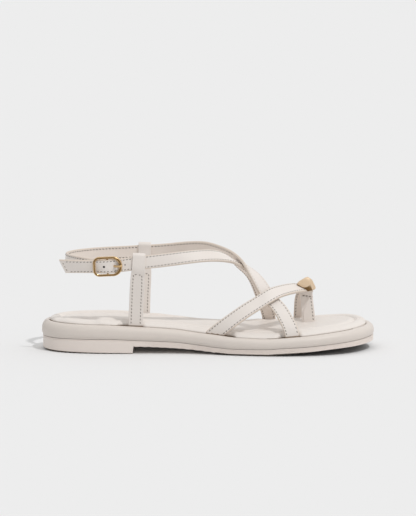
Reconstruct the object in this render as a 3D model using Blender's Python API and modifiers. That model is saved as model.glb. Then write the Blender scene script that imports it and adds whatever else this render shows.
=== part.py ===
# Crossover sandal for the right foot, at its real size.
# +X points to the toe, +Z up and -Y to the outer side of the foot. The origin is on the floor,
# under the middle of the sole. Sizes are in millimetres until a mesh is made.

import math

import bmesh
import bpy
import numpy as np
from mathutils import Matrix, Vector

MM = 0.001

# Driving sizes
SOLE_LENGTH = 254.0
CLEARANCE = 0.3
STATIONS = 46
END_CROWDING = 0.75

# Sole outline seen from above, at the widest line of the rim.
# Columns: x, outer side y, inner side y
SOLE_OUTLINE = [
    (-127.0, 0.0, 0.0),
    (-118.0, -20.2, 20.2),
    (-110.0, -25.4, 25.2),
    (-90.0, -30.6, 30.0),
    (-62.0, -31.8, 31.6),
    (-25.0, -31.4, 29.8),
    (-8.0, -33.2, 33.0),
    (11.0, -38.3, 38.4),
    (30.0, -42.6, 42.8),
    (55.0, -45.0, 44.9),
    (75.0, -43.8, 45.0),
    (95.0, -38.3, 44.0),
    (110.0, -29.7, 39.5),
    (120.0, -17.6, 29.6),
    (127.0, 5.5, 5.5),
]

# Heights along the sole. Columns: x, underside of the forepart and shank, seam between outsole and
# platform, top of the rim, height of the footbed border over the rim
SOLE_HEIGHTS = [
    (-127.0, 5.4, 10.8, 22.6, 2.9),
    (-105.0, 5.4, 10.9, 22.0, 4.3),
    (-75.0, 5.4, 11.0, 21.4, 4.9),
    (-55.0, 5.2, 10.2, 20.4, 5.0),
    (-25.0, 4.0, 8.9, 18.4, 4.6),
    (-10.0, 2.8, 7.3, 16.3, 4.8),
    (6.0, 1.2, 5.7, 14.7, 5.0),
    (20.0, 0.0, 4.9, 13.4, 5.1),
    (44.0, 0.0, 5.1, 12.8, 5.1),
    (54.0, 0.8, 5.8, 13.3, 5.1),
    (74.0, 2.4, 6.9, 14.7, 4.9),
    (100.0, 4.5, 8.8, 17.0, 4.4),
    (127.0, 5.8, 10.7, 19.0, 3.9),
]

# Outsole: a low heel in one wall with it, and ribs along its edge
HEEL_BREAST_X = -56.9
BREAST_SLOPE = 0.7
HEEL_TUCK = 0.9
TOE_TUCK = 0.4
BOTTOM_CHAMFER = 0.5
SEAM_RIB_DEPTH = 0.4
EDGE_RIB_DEPTH = 0.25
RIB_HALF_HEIGHT = 0.2
SEAM_RIB_DROP = 1.0
EDGE_RIB_DROPS = (2.1, 3.1)
EDGE_RIB_FADE = (-60.0, -40.0)

# Platform rim. Columns: inset from the outline, share of the way from seam to rim top
RIM_ROLL = [
    (0.45, 0.12),
    (0.0, 0.36),
    (0.25, 0.60),
    (1.3, 0.82),
    (3.0, 0.965),
    (4.6, 1.0),
    (5.7, 0.95),
    (6.15, 0.82),
]
TRAY_INSET = 6.2
TRAY_DEPTH = 4.0

# Footbed. Columns: inset from the outline, height over the rim top, share of the border height
FOOTBED_STEPS = [
    (7.2, -3.7, 0.0),
    (6.6, -3.0, 0.0),
    (6.5, 0.6, 0.0),
    (6.9, 0.0, 0.55),
    (8.3, 0.0, 0.88),
    (10.8, 0.0, 1.0),
    (13.4, -0.2, 1.0),
    (15.0, -0.9, 1.0),
    (16.4, -1.05, 1.0),
    (19.5, -1.1, 1.0),
]

# Straps
BAND_THICK = 2.0
TAIL_THICK = 1.8
BAND_EDGE = 0.45
BAND_SPACING = 4.6
FOOT_OVERRUN = 3.0
TAIL_SLANT = -0.40

# Tail strap, from its free end on the outer side of the heel to the inner side of the forefoot.
# Columns: x, y, z, facing x, facing y, facing z, width, thickness
TAIL_STRAP = [
    (-110.3, -27.2, 66.9, 0.0, -1.0, 0.0, 10.3, TAIL_THICK),
    (-97.0, -29.1, 67.0, 0.0, -1.0, 0.0, 10.3, TAIL_THICK),
    (-86.1, -29.8, 67.0, 0.0, -1.0, 0.0, 10.3, TAIL_THICK),
    (-76.2, -32.05, 67.2, 0.0, -1.0, 0.0, 10.3, TAIL_THICK),
    (-66.3, -29.8, 67.9, 0.0, -1.0, 0.0, 10.3, TAIL_THICK),
    (-51.9, -29.1, 69.6, 0.0, -1.0, 0.12, 10.3, TAIL_THICK),
    (-31.3, -28.0, 71.8, 0.05, -0.95, 0.3, 10.3, BAND_THICK),
    (-12.6, -25.0, 73.7, 0.15, -0.86, 0.5, 10.3, BAND_THICK),
    (-1.5, -20.5, 74.0, 0.25, -0.78, 0.58, 10.3, BAND_THICK),
    (8.0, -14.3, 71.9, 0.38, -0.6, 0.70, 10.3, BAND_THICK),
    (17.0, -7.0, 68.2, 0.48, -0.3, 0.82, 10.3, BAND_THICK),
    (26.2, 0.8, 63.5, 0.55, -0.05, 0.83, 10.3, BAND_THICK),
    (32.2, 7.8, 56.3, 0.5, 0.35, 0.79, 10.3, BAND_THICK),
    (36.8, 14.0, 48.5, 0.36, 0.6, 0.72, 10.3, BAND_THICK),
    (40.9, 21.5, 38.5, 0.22, 0.78, 0.58, 10.3, BAND_THICK),
    (45.0, 30.4, 26.5, 0.05, 0.9, 0.42, 10.3, BAND_THICK),
    (46.6, 35.0, 20.4, -0.02, 0.96, 0.25, 10.3, BAND_THICK),
    (47.4, 36.9, 15.0, -0.05, 1.0, 0.07, 10.3, BAND_THICK),
    (47.6, 37.0, 9.9, -0.05, 1.0, 0.0, 10.3, BAND_THICK),
]

# Buckle strap, from the centre bar round the heel and over the tail strap to the outer forefoot
BUCKLE_STRAP = [
    (-75.4, -26.9, 67.2, 0.0, -1.0, 0.0, 10.3, BAND_THICK),
    (-86.0, -26.5, 67.2, -0.1, -0.99, 0.0, 10.3, BAND_THICK),
    (-95.6, -21.8, 67.9, -0.6, -0.8, 0.0, 10.3, BAND_THICK),
    (-103.6, -12.5, 68.3, -0.86, -0.45, 0.02, 10.3, BAND_THICK),
    (-107.8, 0.0, 68.5, -1.0, 0.0, 0.03, 10.3, BAND_THICK),
    (-104.3, 12.5, 68.5, -0.86, 0.45, 0.05, 10.3, BAND_THICK),
    (-96.4, 21.4, 68.5, -0.6, 0.8, 0.07, 10.3, BAND_THICK),
    (-86.0, 26.0, 68.9, -0.2, 0.98, 0.08, 10.3, BAND_THICK),
    (-70.0, 27.7, 69.6, 0.0, 1.0, 0.1, 10.3, BAND_THICK),
    (-48.7, 28.0, 70.7, 0.0, 0.99, 0.12, 10.3, BAND_THICK),
    (-31.8, 27.0, 72.2, 0.05, 0.95, 0.3, 10.3, BAND_THICK),
    (-12.9, 23.4, 74.8, 0.15, 0.86, 0.5, 10.3, BAND_THICK),
    (0.0, 17.6, 75.4, 0.25, 0.77, 0.58, 10.3, BAND_THICK),
    (9.0, 11.8, 74.2, 0.38, 0.5, 0.77, 10.3, BAND_THICK),
    (18.0, 5.2, 70.6, 0.5, 0.15, 0.85, 10.3, BAND_THICK),
    (26.6, -1.0, 65.2, 0.55, -0.16, 0.82, 10.3, BAND_THICK),
    (34.5, -7.0, 58.0, 0.42, -0.52, 0.74, 10.4, BAND_THICK),
    (42.0, -13.2, 49.2, 0.25, -0.67, 0.70, 10.6, BAND_THICK),
    (47.5, -18.2, 41.9, 0.15, -0.70, 0.70, 10.8, BAND_THICK),
    (53.9, -24.0, 34.6, 0.12, -0.78, 0.61, 11.0, BAND_THICK),
    (59.3, -30.6, 26.4, 0.1, -0.86, 0.48, 11.0, BAND_THICK),
    (62.4, -35.7, 20.6, 0.05, -0.96, 0.27, 11.0, BAND_THICK),
    (63.7, -37.3, 15.6, 0.04, -1.0, 0.08, 11.0, BAND_THICK),
    (63.9, -37.4, 10.8, 0.04, -1.0, 0.0, 11.0, BAND_THICK),
]

# Toe strap, from the outer waist over the buckle strap and round the big toe
TOE_STRAP = [
    (2.4, -28.0, 12.9, -0.26, -0.96, 0.0, 11.2, BAND_THICK),
    (6.2, -29.1, 16.2, -0.26, -0.96, 0.05, 11.2, BAND_THICK),
    (10.6, -30.2, 19.9, -0.2, -0.95, 0.2, 11.2, BAND_THICK),
    (17.2, -30.6, 25.0, -0.05, -0.87, 0.47, 11.2, BAND_THICK),
    (30.0, -27.6, 33.6, 0.05, -0.79, 0.6, 11.2, BAND_THICK),
    (39.6, -23.4, 38.9, 0.1, -0.73, 0.68, 11.2, BAND_THICK),
    (47.6, -19.3, 43.2, 0.15, -0.70, 0.70, 11.2, BAND_THICK),
    (56.3, -10.6, 45.5, 0.16, -0.6, 0.79, 11.2, BAND_THICK),
    (66.0, -0.5, 46.2, 0.22, -0.48, 0.85, 11.0, BAND_THICK),
    (72.3, 8.0, 45.2, 0.32, -0.25, 0.91, 10.8, BAND_THICK),
    (75.5, 16.5, 43.2, 0.34, 0.1, 0.93, 10.6, BAND_THICK),
    (74.4, 25.5, 39.6, 0.25, 0.52, 0.82, 10.6, BAND_THICK),
    (72.1, 33.0, 32.4, 0.1, 0.87, 0.48, 10.6, BAND_THICK),
    (71.6, 36.2, 23.6, 0.0, 0.98, 0.18, 10.6, BAND_THICK),
    (71.2, 37.4, 16.0, 0.0, 1.0, 0.04, 10.6, BAND_THICK),
    (71.1, 37.4, 11.6, 0.0, 1.0, 0.0, 10.6, BAND_THICK),
]
TOE_STRAP_FOOT_SLANT = -1.0

# Upright strips that fold over the ankle strap, from the sole to the fold
OUTER_KEEPER = [
    (-55.2, -23.8, 17.1, 0.0, -1.0, 0.0, 10.8, 2.6),
    (-54.9, -24.4, 26.0, 0.0, -1.0, 0.05, 10.9, 2.6),
    (-54.2, -26.2, 42.0, 0.0, -1.0, 0.1, 10.9, 2.6),
    (-53.5, -28.3, 57.0, 0.0, -1.0, 0.12, 10.7, 2.8),
    (-53.2, -28.8, 61.0, 0.0, -1.0, 0.12, 10.3, 3.4),
    (-52.7, -29.1, 64.3, 0.0, -1.0, 0.12, 10.1, 5.0),
    (-52.5, -29.1, 69.4, 0.0, -1.0, 0.12, 9.9, 5.2),
    (-52.3, -28.6, 74.5, 0.0, -1.0, 0.12, 9.7, 4.9),
    (-52.2, -28.3, 76.8, 0.0, -1.0, 0.12, 9.7, 3.2),
]
INNER_KEEPER = [
    (-50.0, 22.75, 16.9, 0.1, 1.0, 0.0, 10.4, 2.6),
    (-49.7, 23.7, 26.0, 0.08, 1.0, 0.05, 10.4, 2.6),
    (-49.2, 26.0, 42.0, 0.0, 1.0, 0.08, 10.3, 2.6),
    (-48.8, 27.5, 57.0, 0.0, 1.0, 0.12, 10.2, 2.8),
    (-49.0, 27.8, 61.8, 0.0, 1.0, 0.12, 10.1, 3.4),
    (-48.8, 28.0, 65.5, 0.0, 1.0, 0.12, 10.0, 5.2),
    (-48.7, 28.0, 70.7, 0.0, 1.0, 0.12, 9.8, 5.4),
    (-48.6, 27.5, 75.5, 0.0, 1.0, 0.12, 9.7, 5.1),
    (-48.6, 27.2, 77.8, 0.0, 1.0, 0.12, 9.7, 3.2),
]
KEEPER_SPACING = 4.0

# Strip between the big toe and the second toe, from the footbed to under the toe strap
TOE_POST = [
    (77.4, 13.8, 15.8, 0.05, -1.0, 0.03, 10.4, 2.4),
    (77.0, 13.8, 22.0, 0.05, -1.0, 0.03, 10.2, 2.4),
    (76.1, 14.0, 32.0, 0.05, -1.0, 0.03, 9.7, 2.4),
    (75.3, 14.3, 43.0, 0.05, -1.0, 0.03, 9.3, 2.4),
]
POST_TOP_SLANT = 0.36

# Buckle, in its own frame: x along the strap, y into the foot from the plane of the frame, z up
BUCKLE_CENTRE = (-76.2, -32.25, 67.3)
BUCKLE_TURN = math.radians(-2.5)
FRAME_LENGTH = 21.9
FRAME_HEIGHT = 15.2
FRAME_CORNER = 5.2
FRAME_WIRE = 1.05
CORNER_POINTS = 5
BAR_DEPTH = 3.65
BAR_WIRE = 0.75
BAR_BEND = 0.55
EYE_WALL = 1.2
PRONG_WIRE = 0.6
PRONG_SLOT_HEIGHT = 2.4
PRONG_SLOT_RADIUS = 2.75
RING_POINTS = 11
RING_START = math.radians(-60.0)
RING_END = math.radians(-330.0)
# Columns: x, y of the prong's middle line after its ring
PRONG_ARM = [
    (3.1, 3.3),
    (4.2, 2.3),
    (4.9, 1.0),
    (5.5, -0.4),
    (6.5, -1.55),
    (8.2, -1.95),
    (11.2, -1.95),
]
PRONG_HOLE_X = 4.85
PRONG_HOLE_LENGTH = 3.4
PRONG_HOLE_HEIGHT = 1.9

# Ornament on the toe strap: a four-sided pebble, widest a little above its base.
# Columns: share of the half diagonals, height, lean of the middle along the length
STUD_CENTRE = (74.3, 8.4, 44.9)
STUD_LENGTH_AXIS = (0.79, 0.54, -0.285)
STUD_FACING = (0.47, -0.24, 0.85)
STUD_HALF_LENGTH = 9.2
STUD_HALF_DEPTH = 8.0
STUD_RINGS = [
    (0.72, 0.0, 0.0),
    (1.0, 2.2, 0.0),
    (0.40, 8.0, -1.5),
    (0.16, 9.3, -2.0),
]
STUD_BEVEL = 1.1
STUD_BEVEL_STEPS = 3

# Finishes. Columns: base colour, roughness, metallic
FINISHES = {
    "outsole_rubber": ((0.62, 0.57, 0.52), 0.6, 0.0),
    "rim_leather": ((0.66, 0.60, 0.55), 0.5, 0.0),
    "footbed_leather": ((0.76, 0.72, 0.68), 0.55, 0.0),
    "strap_leather": ((0.74, 0.69, 0.64), 0.5, 0.0),
    "gold_metal": ((0.72, 0.48, 0.22), 0.25, 1.0),
    "satin_gold_metal": ((0.78, 0.58, 0.38), 0.35, 1.0),
}


def spline(knots, values, at):
    """Natural cubic curve through the rows of values at the knots, read at the places in at."""
    steps = np.diff(knots)[:, None]
    slopes = np.diff(values, axis=0) / steps
    system = np.eye(len(knots))
    right = np.zeros(values.shape)
    for row in range(1, len(knots) - 1):
        before, after = steps[row - 1, 0], steps[row, 0]
        system[row, row - 1:row + 2] = before, 2.0 * (before + after), after
        right[row] = 6.0 * (slopes[row] - slopes[row - 1])
    bend = np.linalg.solve(system, right)
    cell = np.clip(np.searchsorted(knots, at, side="right") - 1, 0, len(knots) - 2)
    away = (at - knots[cell])[:, None]
    step = steps[cell]
    start = slopes[cell] - step * (2.0 * bend[cell] + bend[cell + 1]) / 6.0
    twist = (bend[cell + 1] - bend[cell]) / (6.0 * step)
    return values[cell] + away * (start + away * (0.5 * bend[cell] + away * twist))


def gentle(knots, values, at):
    """Curve through a column of heights that never overshoots, so flat stretches stay flat."""
    steps = np.diff(knots)
    slopes = np.diff(values) / steps
    tangent = np.concatenate([slopes[:1], np.zeros(len(knots) - 2), slopes[-1:]])
    product = slopes[:-1] * slopes[1:]
    rising = product > 0.0
    tangent[1:-1][rising] = 2.0 * product[rising] / (slopes[:-1] + slopes[1:])[rising]
    cell = np.clip(np.searchsorted(knots, at, side="right") - 1, 0, len(knots) - 2)
    share = (at - knots[cell]) / steps[cell]
    rise = share * share * (3.0 - 2.0 * share)
    lean_out = share * (1.0 - share) ** 2 * steps[cell] * tangent[cell]
    lean_in = share * share * (share - 1.0) * steps[cell] * tangent[cell + 1]
    return values[cell] + rise * (values[cell + 1] - values[cell]) + lean_out + lean_in


def unit(vectors):
    """Each row at length one."""
    return vectors / np.linalg.norm(vectors, axis=-1, keepdims=True)


def make_object(name, bm, collection, finish=None):
    """Object from a bmesh in millimetres, its faces turned outwards."""
    bmesh.ops.recalc_face_normals(bm, faces=bm.faces)
    bmesh.ops.scale(bm, vec=(MM, MM, MM), verts=bm.verts)
    mesh = bpy.data.meshes.new(name)
    bm.to_mesh(mesh)
    bm.free()
    mesh.shade_smooth()
    mesh.set_sharp_from_angle(angle=math.radians(35.0))
    obj = bpy.data.objects.new(name, mesh)
    collection.objects.link(obj)
    if finish is not None:
        mesh.materials.append(finish)
    if collection.name == "cutters":
        obj.hide_render = True
        obj.display_type = "WIRE"
    return obj


def skin(name, rings, collection, finish=None, ladder=False):
    """Closed body over a stack of rings of like points, capped by one face or a ladder of faces."""
    bm = bmesh.new()
    rows = [[bm.verts.new(point) for point in ring] for ring in rings]
    count = len(rows[0])
    for lower, upper in zip(rows[:-1], rows[1:]):
        for i in range(count):
            j = (i + 1) % count
            bm.faces.new((lower[i], lower[j], upper[j]))
            bm.faces.new((lower[i], upper[j], upper[i]))
    for row in (rows[0], rows[-1]):
        if not ladder:
            bm.faces.new(row)
            continue
        for i in range(count // 2):
            corners = [row[i], row[i + 1], row[count - i - 1], row[(count - i) % count]]
            bm.faces.new(list(dict.fromkeys(corners)))
    return make_object(name, bm, collection, finish)


def combine(target, other, operation):
    """Boolean of another closed body on a target."""
    step = target.modifiers.new(operation.lower() + "_" + other.name, "BOOLEAN")
    step.operation = operation
    step.solver = "EXACT"
    step.object = other


def make_finish(name):
    """Principled material from the table of finishes."""
    colour, roughness, metallic = FINISHES[name]
    material = bpy.data.materials.new(name)
    material.use_nodes = True
    shader = material.node_tree.nodes["Principled BSDF"]
    shader.inputs["Base Color"].default_value = (*colour, 1.0)
    shader.inputs["Roughness"].default_value = roughness
    shader.inputs["Metallic"].default_value = metallic
    return material


def sole_stations():
    """Stations along the sole, close together at heel and toe, with a pair at the heel breast."""
    half = SOLE_LENGTH / 2.0
    share = np.linspace(0.0, 1.0, STATIONS + 1)
    x = half * (END_CROWDING * -np.cos(math.pi * share) + (1.0 - END_CROWDING) * (2.0 * share - 1.0))
    breast = HEEL_BREAST_X + BREAST_SLOPE * np.array([-0.5, 0.5])
    x = x[np.abs(x - HEEL_BREAST_X) > half / STATIONS]
    return np.sort(np.concatenate([x, breast]))


def sole_sides(x):
    """Outline points and inward directions of both sides at the stations."""
    half = SOLE_LENGTH / 2.0
    table = np.array(SOLE_OUTLINE)
    knots = np.arccos(-table[:, 0] / half)
    angles = np.arccos(np.clip(-x / half, -1.0, 1.0))
    sides = spline(knots, table[:, 1:], angles)
    run = half * np.sin(angles)
    fall = np.gradient(sides, angles, axis=0)
    inward = [unit(np.stack([-fall[:, 0], run], axis=1)), unit(np.stack([fall[:, 1], -run], axis=1))]
    points = [np.stack([x, sides[:, k]], axis=1) for k in range(2)]
    return points, inward


SOLE_X = sole_stations()
SOLE_POINTS, SOLE_INWARD = sole_sides(SOLE_X)
HEIGHT_TABLE = np.array(SOLE_HEIGHTS)
UNDERSIDE, SEAM, RIM_TOP, BORDER = (
    gentle(HEIGHT_TABLE[:, 0], HEIGHT_TABLE[:, column], SOLE_X) for column in range(1, 5)
)


def sole_ring(inset, height):
    """The outline moved inwards by inset, at a height for each station: outer side, then inner side."""
    inset = np.broadcast_to(inset, SOLE_X.shape)[:, None]
    outer, inner = (
        np.column_stack([SOLE_POINTS[k] + inset * SOLE_INWARD[k], height]) for k in range(2)
    )
    return np.concatenate([outer, inner[-2:0:-1]])


def make_outsole(collection, finish):
    """Outsole with its heel: chamfered tread edge, ribs on the forepart's edge, a rib under the seam."""
    tuck = np.interp(SOLE_X, [SOLE_X[0], SOLE_X[-1]], [HEEL_TUCK, TOE_TUCK])
    bottom = np.where(SOLE_X < HEEL_BREAST_X, 0.0, UNDERSIDE)
    top = SEAM - CLEARANCE / 2.0
    fade = np.clip((SOLE_X - EDGE_RIB_FADE[0]) / (EDGE_RIB_FADE[1] - EDGE_RIB_FADE[0]), 0.0, 1.0)
    rings = [
        sole_ring(tuck + BOTTOM_CHAMFER, bottom),
        sole_ring(tuck, bottom + BOTTOM_CHAMFER),
    ]
    ribs = [(drop, EDGE_RIB_DEPTH * fade) for drop in EDGE_RIB_DROPS[::-1]]
    ribs.append((SEAM_RIB_DROP, np.full(SOLE_X.shape, SEAM_RIB_DEPTH)))
    for drop, depth in ribs:
        rings.append(sole_ring(tuck, top - drop - RIB_HALF_HEIGHT))
        rings.append(sole_ring(tuck + depth, top - drop))
        rings.append(sole_ring(tuck, top - drop + RIB_HALF_HEIGHT))
    rings.append(sole_ring(tuck, top))
    return skin("outsole", rings, collection, finish, ladder=True)


def make_midsole(collection, finish):
    """Wrapped platform: a rounded rim roll round a shallow tray for the footbed."""
    tuck = np.interp(SOLE_X, [SOLE_X[0], SOLE_X[-1]], [HEEL_TUCK, TOE_TUCK])
    bottom = SEAM + CLEARANCE / 2.0
    rings = [sole_ring(tuck + CLEARANCE, bottom)]
    for inset, share in RIM_ROLL:
        rings.append(sole_ring(inset, bottom + share * (RIM_TOP - bottom)))
    rings.append(sole_ring(TRAY_INSET, RIM_TOP - TRAY_DEPTH))
    return skin("midsole", rings, collection, finish, ladder=True)


def make_insole(collection, finish, notches):
    """Padded footbed with a puffy border, notched where the straps go down beside it."""
    rings = [
        sole_ring(inset, RIM_TOP + height + share * BORDER) for inset, height, share in FOOTBED_STEPS
    ]
    insole = skin("insole", rings, collection, finish, ladder=True)
    for notch in notches:
        combine(insole, notch, "DIFFERENCE")
    return insole


def band_rings(rows, spacing, swell=0.0, overrun=0.0, slants=(0.0, 0.0)):
    """Rings of a flat band along a table of places and facings.

    swell widens the band all round, overrun lengthens it at both ends, and slants lean its two
    end cuts along the band.
    """
    table = np.array(rows)
    hops = np.linalg.norm(np.diff(table[:, :3], axis=0), axis=1)
    knots = np.concatenate([[0.0], np.cumsum(hops)])
    at = np.linspace(0.0, knots[-1], max(4, round(knots[-1] / spacing) + 1))
    at[[0, -1]] += np.array([-overrun, overrun])
    path = spline(knots, table, at)
    middle = path[:, :3]
    along = unit(np.gradient(middle, at, axis=0))
    facing = path[:, 3:6]
    facing = unit(facing - np.sum(facing * along, axis=1, keepdims=True) * along)
    across = np.cross(facing, along)
    half_width = path[:, 6] / 2.0 + swell
    half_thick = path[:, 7] / 2.0 + swell
    corners = [(-1, -1, 1, 0), (1, -1, 1, 0), (1, -1, 0, 1), (1, 1, 0, 1),
               (1, 1, 1, 0), (-1, 1, 1, 0), (-1, 1, 0, 1), (-1, -1, 0, 1)]
    rings = np.zeros((len(at), len(corners), 3))
    for i, (side, face, trim_side, trim_face) in enumerate(corners):
        out = side * (half_width - trim_side * BAND_EDGE)
        up = face * (half_thick - trim_face * BAND_EDGE)
        rings[:, i] = middle + out[:, None] * across + up[:, None] * facing
        for end, slant in zip((0, -1), slants):
            rings[end, i] += slant * out[end] * along[end]
    return rings


def buckle_matrix():
    """Place of the buckle's own frame on the shoe."""
    return Matrix.Translation(Vector(BUCKLE_CENTRE) * MM) @ Matrix.Rotation(BUCKLE_TURN, 4, "Y")


def wire(name, points, radius, collection, finish=None, closed=False):
    """Round wire along points in the buckle's frame, as a mesh."""
    curve = bpy.data.curves.new(name, "CURVE")
    curve.dimensions = "3D"
    curve.bevel_depth = radius * MM
    curve.bevel_resolution = 2
    curve.use_fill_caps = True
    line = curve.splines.new("POLY")
    line.points.add(len(points) - 1)
    for knot, point in zip(line.points, points):
        knot.co = (*(Vector(point) * MM), 1.0)
    line.use_cyclic_u = closed
    holder = bpy.data.objects.new(name + "_line", curve)
    collection.objects.link(holder)
    bpy.context.view_layer.update()
    evaluated = holder.evaluated_get(bpy.context.evaluated_depsgraph_get())
    mesh = bpy.data.meshes.new_from_object(evaluated)
    bpy.data.objects.remove(holder)
    bm = bmesh.new()
    bm.from_mesh(mesh)
    bpy.data.meshes.remove(mesh)
    bmesh.ops.remove_doubles(bm, verts=bm.verts, dist=0.00001)
    bmesh.ops.scale(bm, vec=(1.0 / MM, 1.0 / MM, 1.0 / MM), verts=bm.verts)
    obj = make_object(name, bm, collection, finish)
    obj.matrix_world = buckle_matrix()
    return obj


def upright_cylinder(name, radius, height, collection):
    """Cylinder round the centre bar, in the buckle's frame."""
    bm = bmesh.new()
    bmesh.ops.create_cone(bm, cap_ends=True, segments=24, radius1=radius, radius2=radius, depth=height)
    bmesh.ops.translate(bm, vec=(0.0, BAR_DEPTH, 0.0), verts=bm.verts)
    obj = make_object(name, bm, collection)
    obj.matrix_world = buckle_matrix()
    return obj


def make_upper(collection, cutters, finish):
    """The three straps joined where they cross, with the eye for the buckle's bar and the prong's hole."""
    upper = skin("upper", band_rings(TAIL_STRAP, BAND_SPACING, slants=(TAIL_SLANT, 0.0)), collection, finish)
    strap_height = BUCKLE_STRAP[0][6]
    joined = [
        skin("buckle_strap", band_rings(BUCKLE_STRAP, BAND_SPACING), cutters),
        upright_cylinder("bar_eye", BAR_WIRE + CLEARANCE + EYE_WALL, strap_height, cutters),
        skin("toe_strap", band_rings(TOE_STRAP, BAND_SPACING, slants=(TOE_STRAP_FOOT_SLANT, 0.0)), cutters),
    ]
    for strap in joined:
        combine(upper, strap, "UNION")
    hole = bmesh.new()
    bmesh.ops.create_cube(hole, size=1.0)
    size = Vector((PRONG_HOLE_LENGTH, 2.0 * BAR_DEPTH, PRONG_HOLE_HEIGHT))
    bmesh.ops.scale(hole, vec=size, verts=hole.verts)
    bmesh.ops.translate(hole, vec=(PRONG_HOLE_X, 0.0, 0.0), verts=hole.verts)
    prong_hole = make_object("prong_hole", hole, cutters)
    prong_hole.matrix_world = buckle_matrix()
    for cutter in (
        upright_cylinder("bar_bore", BAR_WIRE + CLEARANCE, 2.0 * strap_height, cutters),
        upright_cylinder("prong_slot", PRONG_SLOT_RADIUS, PRONG_SLOT_HEIGHT, cutters),
        prong_hole,
    ):
        combine(upper, cutter, "DIFFERENCE")
    return upper


def make_keeper(name, rows, strap_rows, collection, cutters, finish):
    """Upright strip with the ankle strap's way through its fold."""
    keeper = skin(name, band_rings(rows, KEEPER_SPACING), collection, finish)
    passage = skin(name + "_passage", band_rings(strap_rows, BAND_SPACING, CLEARANCE), cutters)
    combine(keeper, passage, "DIFFERENCE")
    return keeper


def make_buckle_frame(collection, cutters, finish):
    """Rounded rectangular frame and the bent wire of its centre bar."""
    radius = FRAME_CORNER - FRAME_WIRE
    reach_x = FRAME_LENGTH / 2.0 - FRAME_CORNER
    reach_z = FRAME_HEIGHT / 2.0 - FRAME_CORNER
    points = []
    for quarter, (side_x, side_z) in enumerate(((1, 1), (-1, 1), (-1, -1), (1, -1))):
        for angle in np.linspace(0.0, math.pi / 2.0, CORNER_POINTS) + quarter * math.pi / 2.0:
            x = side_x * reach_x + radius * math.cos(angle)
            z = side_z * reach_z + radius * math.sin(angle)
            points.append((x, 0.0, z))
    frame = wire("buckle_frame", points, FRAME_WIRE, collection, finish, closed=True)
    rail = FRAME_HEIGHT / 2.0 - FRAME_WIRE
    half = [(0.0, 0.0, rail), (0.0, BAR_DEPTH - BAR_BEND, rail), (0.0, BAR_DEPTH, rail - BAR_BEND)]
    other = [(x, y, -z) for x, y, z in half[::-1]]
    bar = wire("centre_bar", half + other, BAR_WIRE, cutters)
    combine(frame, bar, "UNION")
    return frame


def make_buckle_prong(collection, finish):
    """Wire bent in a ring round the centre bar, then out through the strap and over the front of the frame."""
    ring_radius = BAR_WIRE + CLEARANCE + PRONG_WIRE
    points = []
    for angle in np.linspace(RING_START, RING_END, RING_POINTS):
        points.append((ring_radius * math.cos(angle), BAR_DEPTH + ring_radius * math.sin(angle), 0.0))
    points += [(x, y, 0.0) for x, y in PRONG_ARM]
    return wire("buckle_prong", points, PRONG_WIRE, collection, finish)


def make_toe_stud(collection, cutters, finish):
    """Four-sided pebble with soft ridges, hollowed underneath where the toe strap runs."""
    facing = Vector(STUD_FACING).normalized()
    depth_axis = facing.cross(Vector(STUD_LENGTH_AXIS)).normalized()
    length_axis = depth_axis.cross(facing)
    rings = []
    for share, height, lean in STUD_RINGS:
        base = Vector(STUD_CENTRE) + facing * height + length_axis * lean
        length = length_axis * STUD_HALF_LENGTH * share
        depth = depth_axis * STUD_HALF_DEPTH * share
        rings.append([base + length, base + depth, base - length, base - depth])
    stud = skin("toe_stud", rings, collection, finish)
    bevel = stud.modifiers.new("soft_ridges", "BEVEL")
    bevel.width = STUD_BEVEL * MM
    bevel.segments = STUD_BEVEL_STEPS
    seat = skin("stud_seat", band_rings(TOE_STRAP, BAND_SPACING, CLEARANCE), cutters)
    combine(stud, seat, "DIFFERENCE")
    return stud


def make_toe_post(collection, cutters, finish):
    """Strip between the toes, cut to the toe strap's underside at its top."""
    rings = band_rings(TOE_POST, BAND_SPACING, slants=(0.0, POST_TOP_SLANT))
    post = skin("toe_post", rings, collection, finish)
    seat = skin("post_seat", band_rings(TOE_STRAP, BAND_SPACING, CLEARANCE), cutters)
    combine(post, seat, "DIFFERENCE")
    return post


def footbed_notches(cutters):
    """Bodies of the straps with clearance all round, which notch the footbed where they go down."""
    straps = {
        "tail_strap": (TAIL_STRAP, 0.0),
        "buckle_strap": (BUCKLE_STRAP, 0.0),
        "toe_strap": (TOE_STRAP, TOE_STRAP_FOOT_SLANT),
        "outer_keeper": (OUTER_KEEPER, 0.0),
        "inner_keeper": (INNER_KEEPER, 0.0),
        "toe_post": (TOE_POST, 0.0),
    }
    notches = []
    for name, (rows, slant) in straps.items():
        rings = band_rings(rows, BAND_SPACING, CLEARANCE, FOOT_OVERRUN, (slant, 0.0))
        notches.append(skin(name + "_notch", rings, cutters))
    return notches


for old in list(bpy.data.objects):
    bpy.data.objects.remove(old)
sandal = bpy.data.collections.new("crossover_sandal")
cutter_bodies = bpy.data.collections.new("cutters")
for group in (sandal, cutter_bodies):
    bpy.context.scene.collection.children.link(group)
finishes = {name: make_finish(name) for name in FINISHES}

make_outsole(sandal, finishes["outsole_rubber"])
make_midsole(sandal, finishes["rim_leather"])
make_insole(sandal, finishes["footbed_leather"], footbed_notches(cutter_bodies))
make_upper(sandal, cutter_bodies, finishes["strap_leather"])
make_keeper("keeper_lateral", OUTER_KEEPER, TAIL_STRAP, sandal, cutter_bodies, finishes["strap_leather"])
make_keeper("keeper_medial", INNER_KEEPER, BUCKLE_STRAP, sandal, cutter_bodies, finishes["strap_leather"])
make_toe_post(sandal, cutter_bodies, finishes["strap_leather"])
make_buckle_frame(sandal, cutter_bodies, finishes["gold_metal"])
make_buckle_prong(sandal, finishes["gold_metal"])
make_toe_stud(sandal, cutter_bodies, finishes["satin_gold_metal"])
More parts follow.
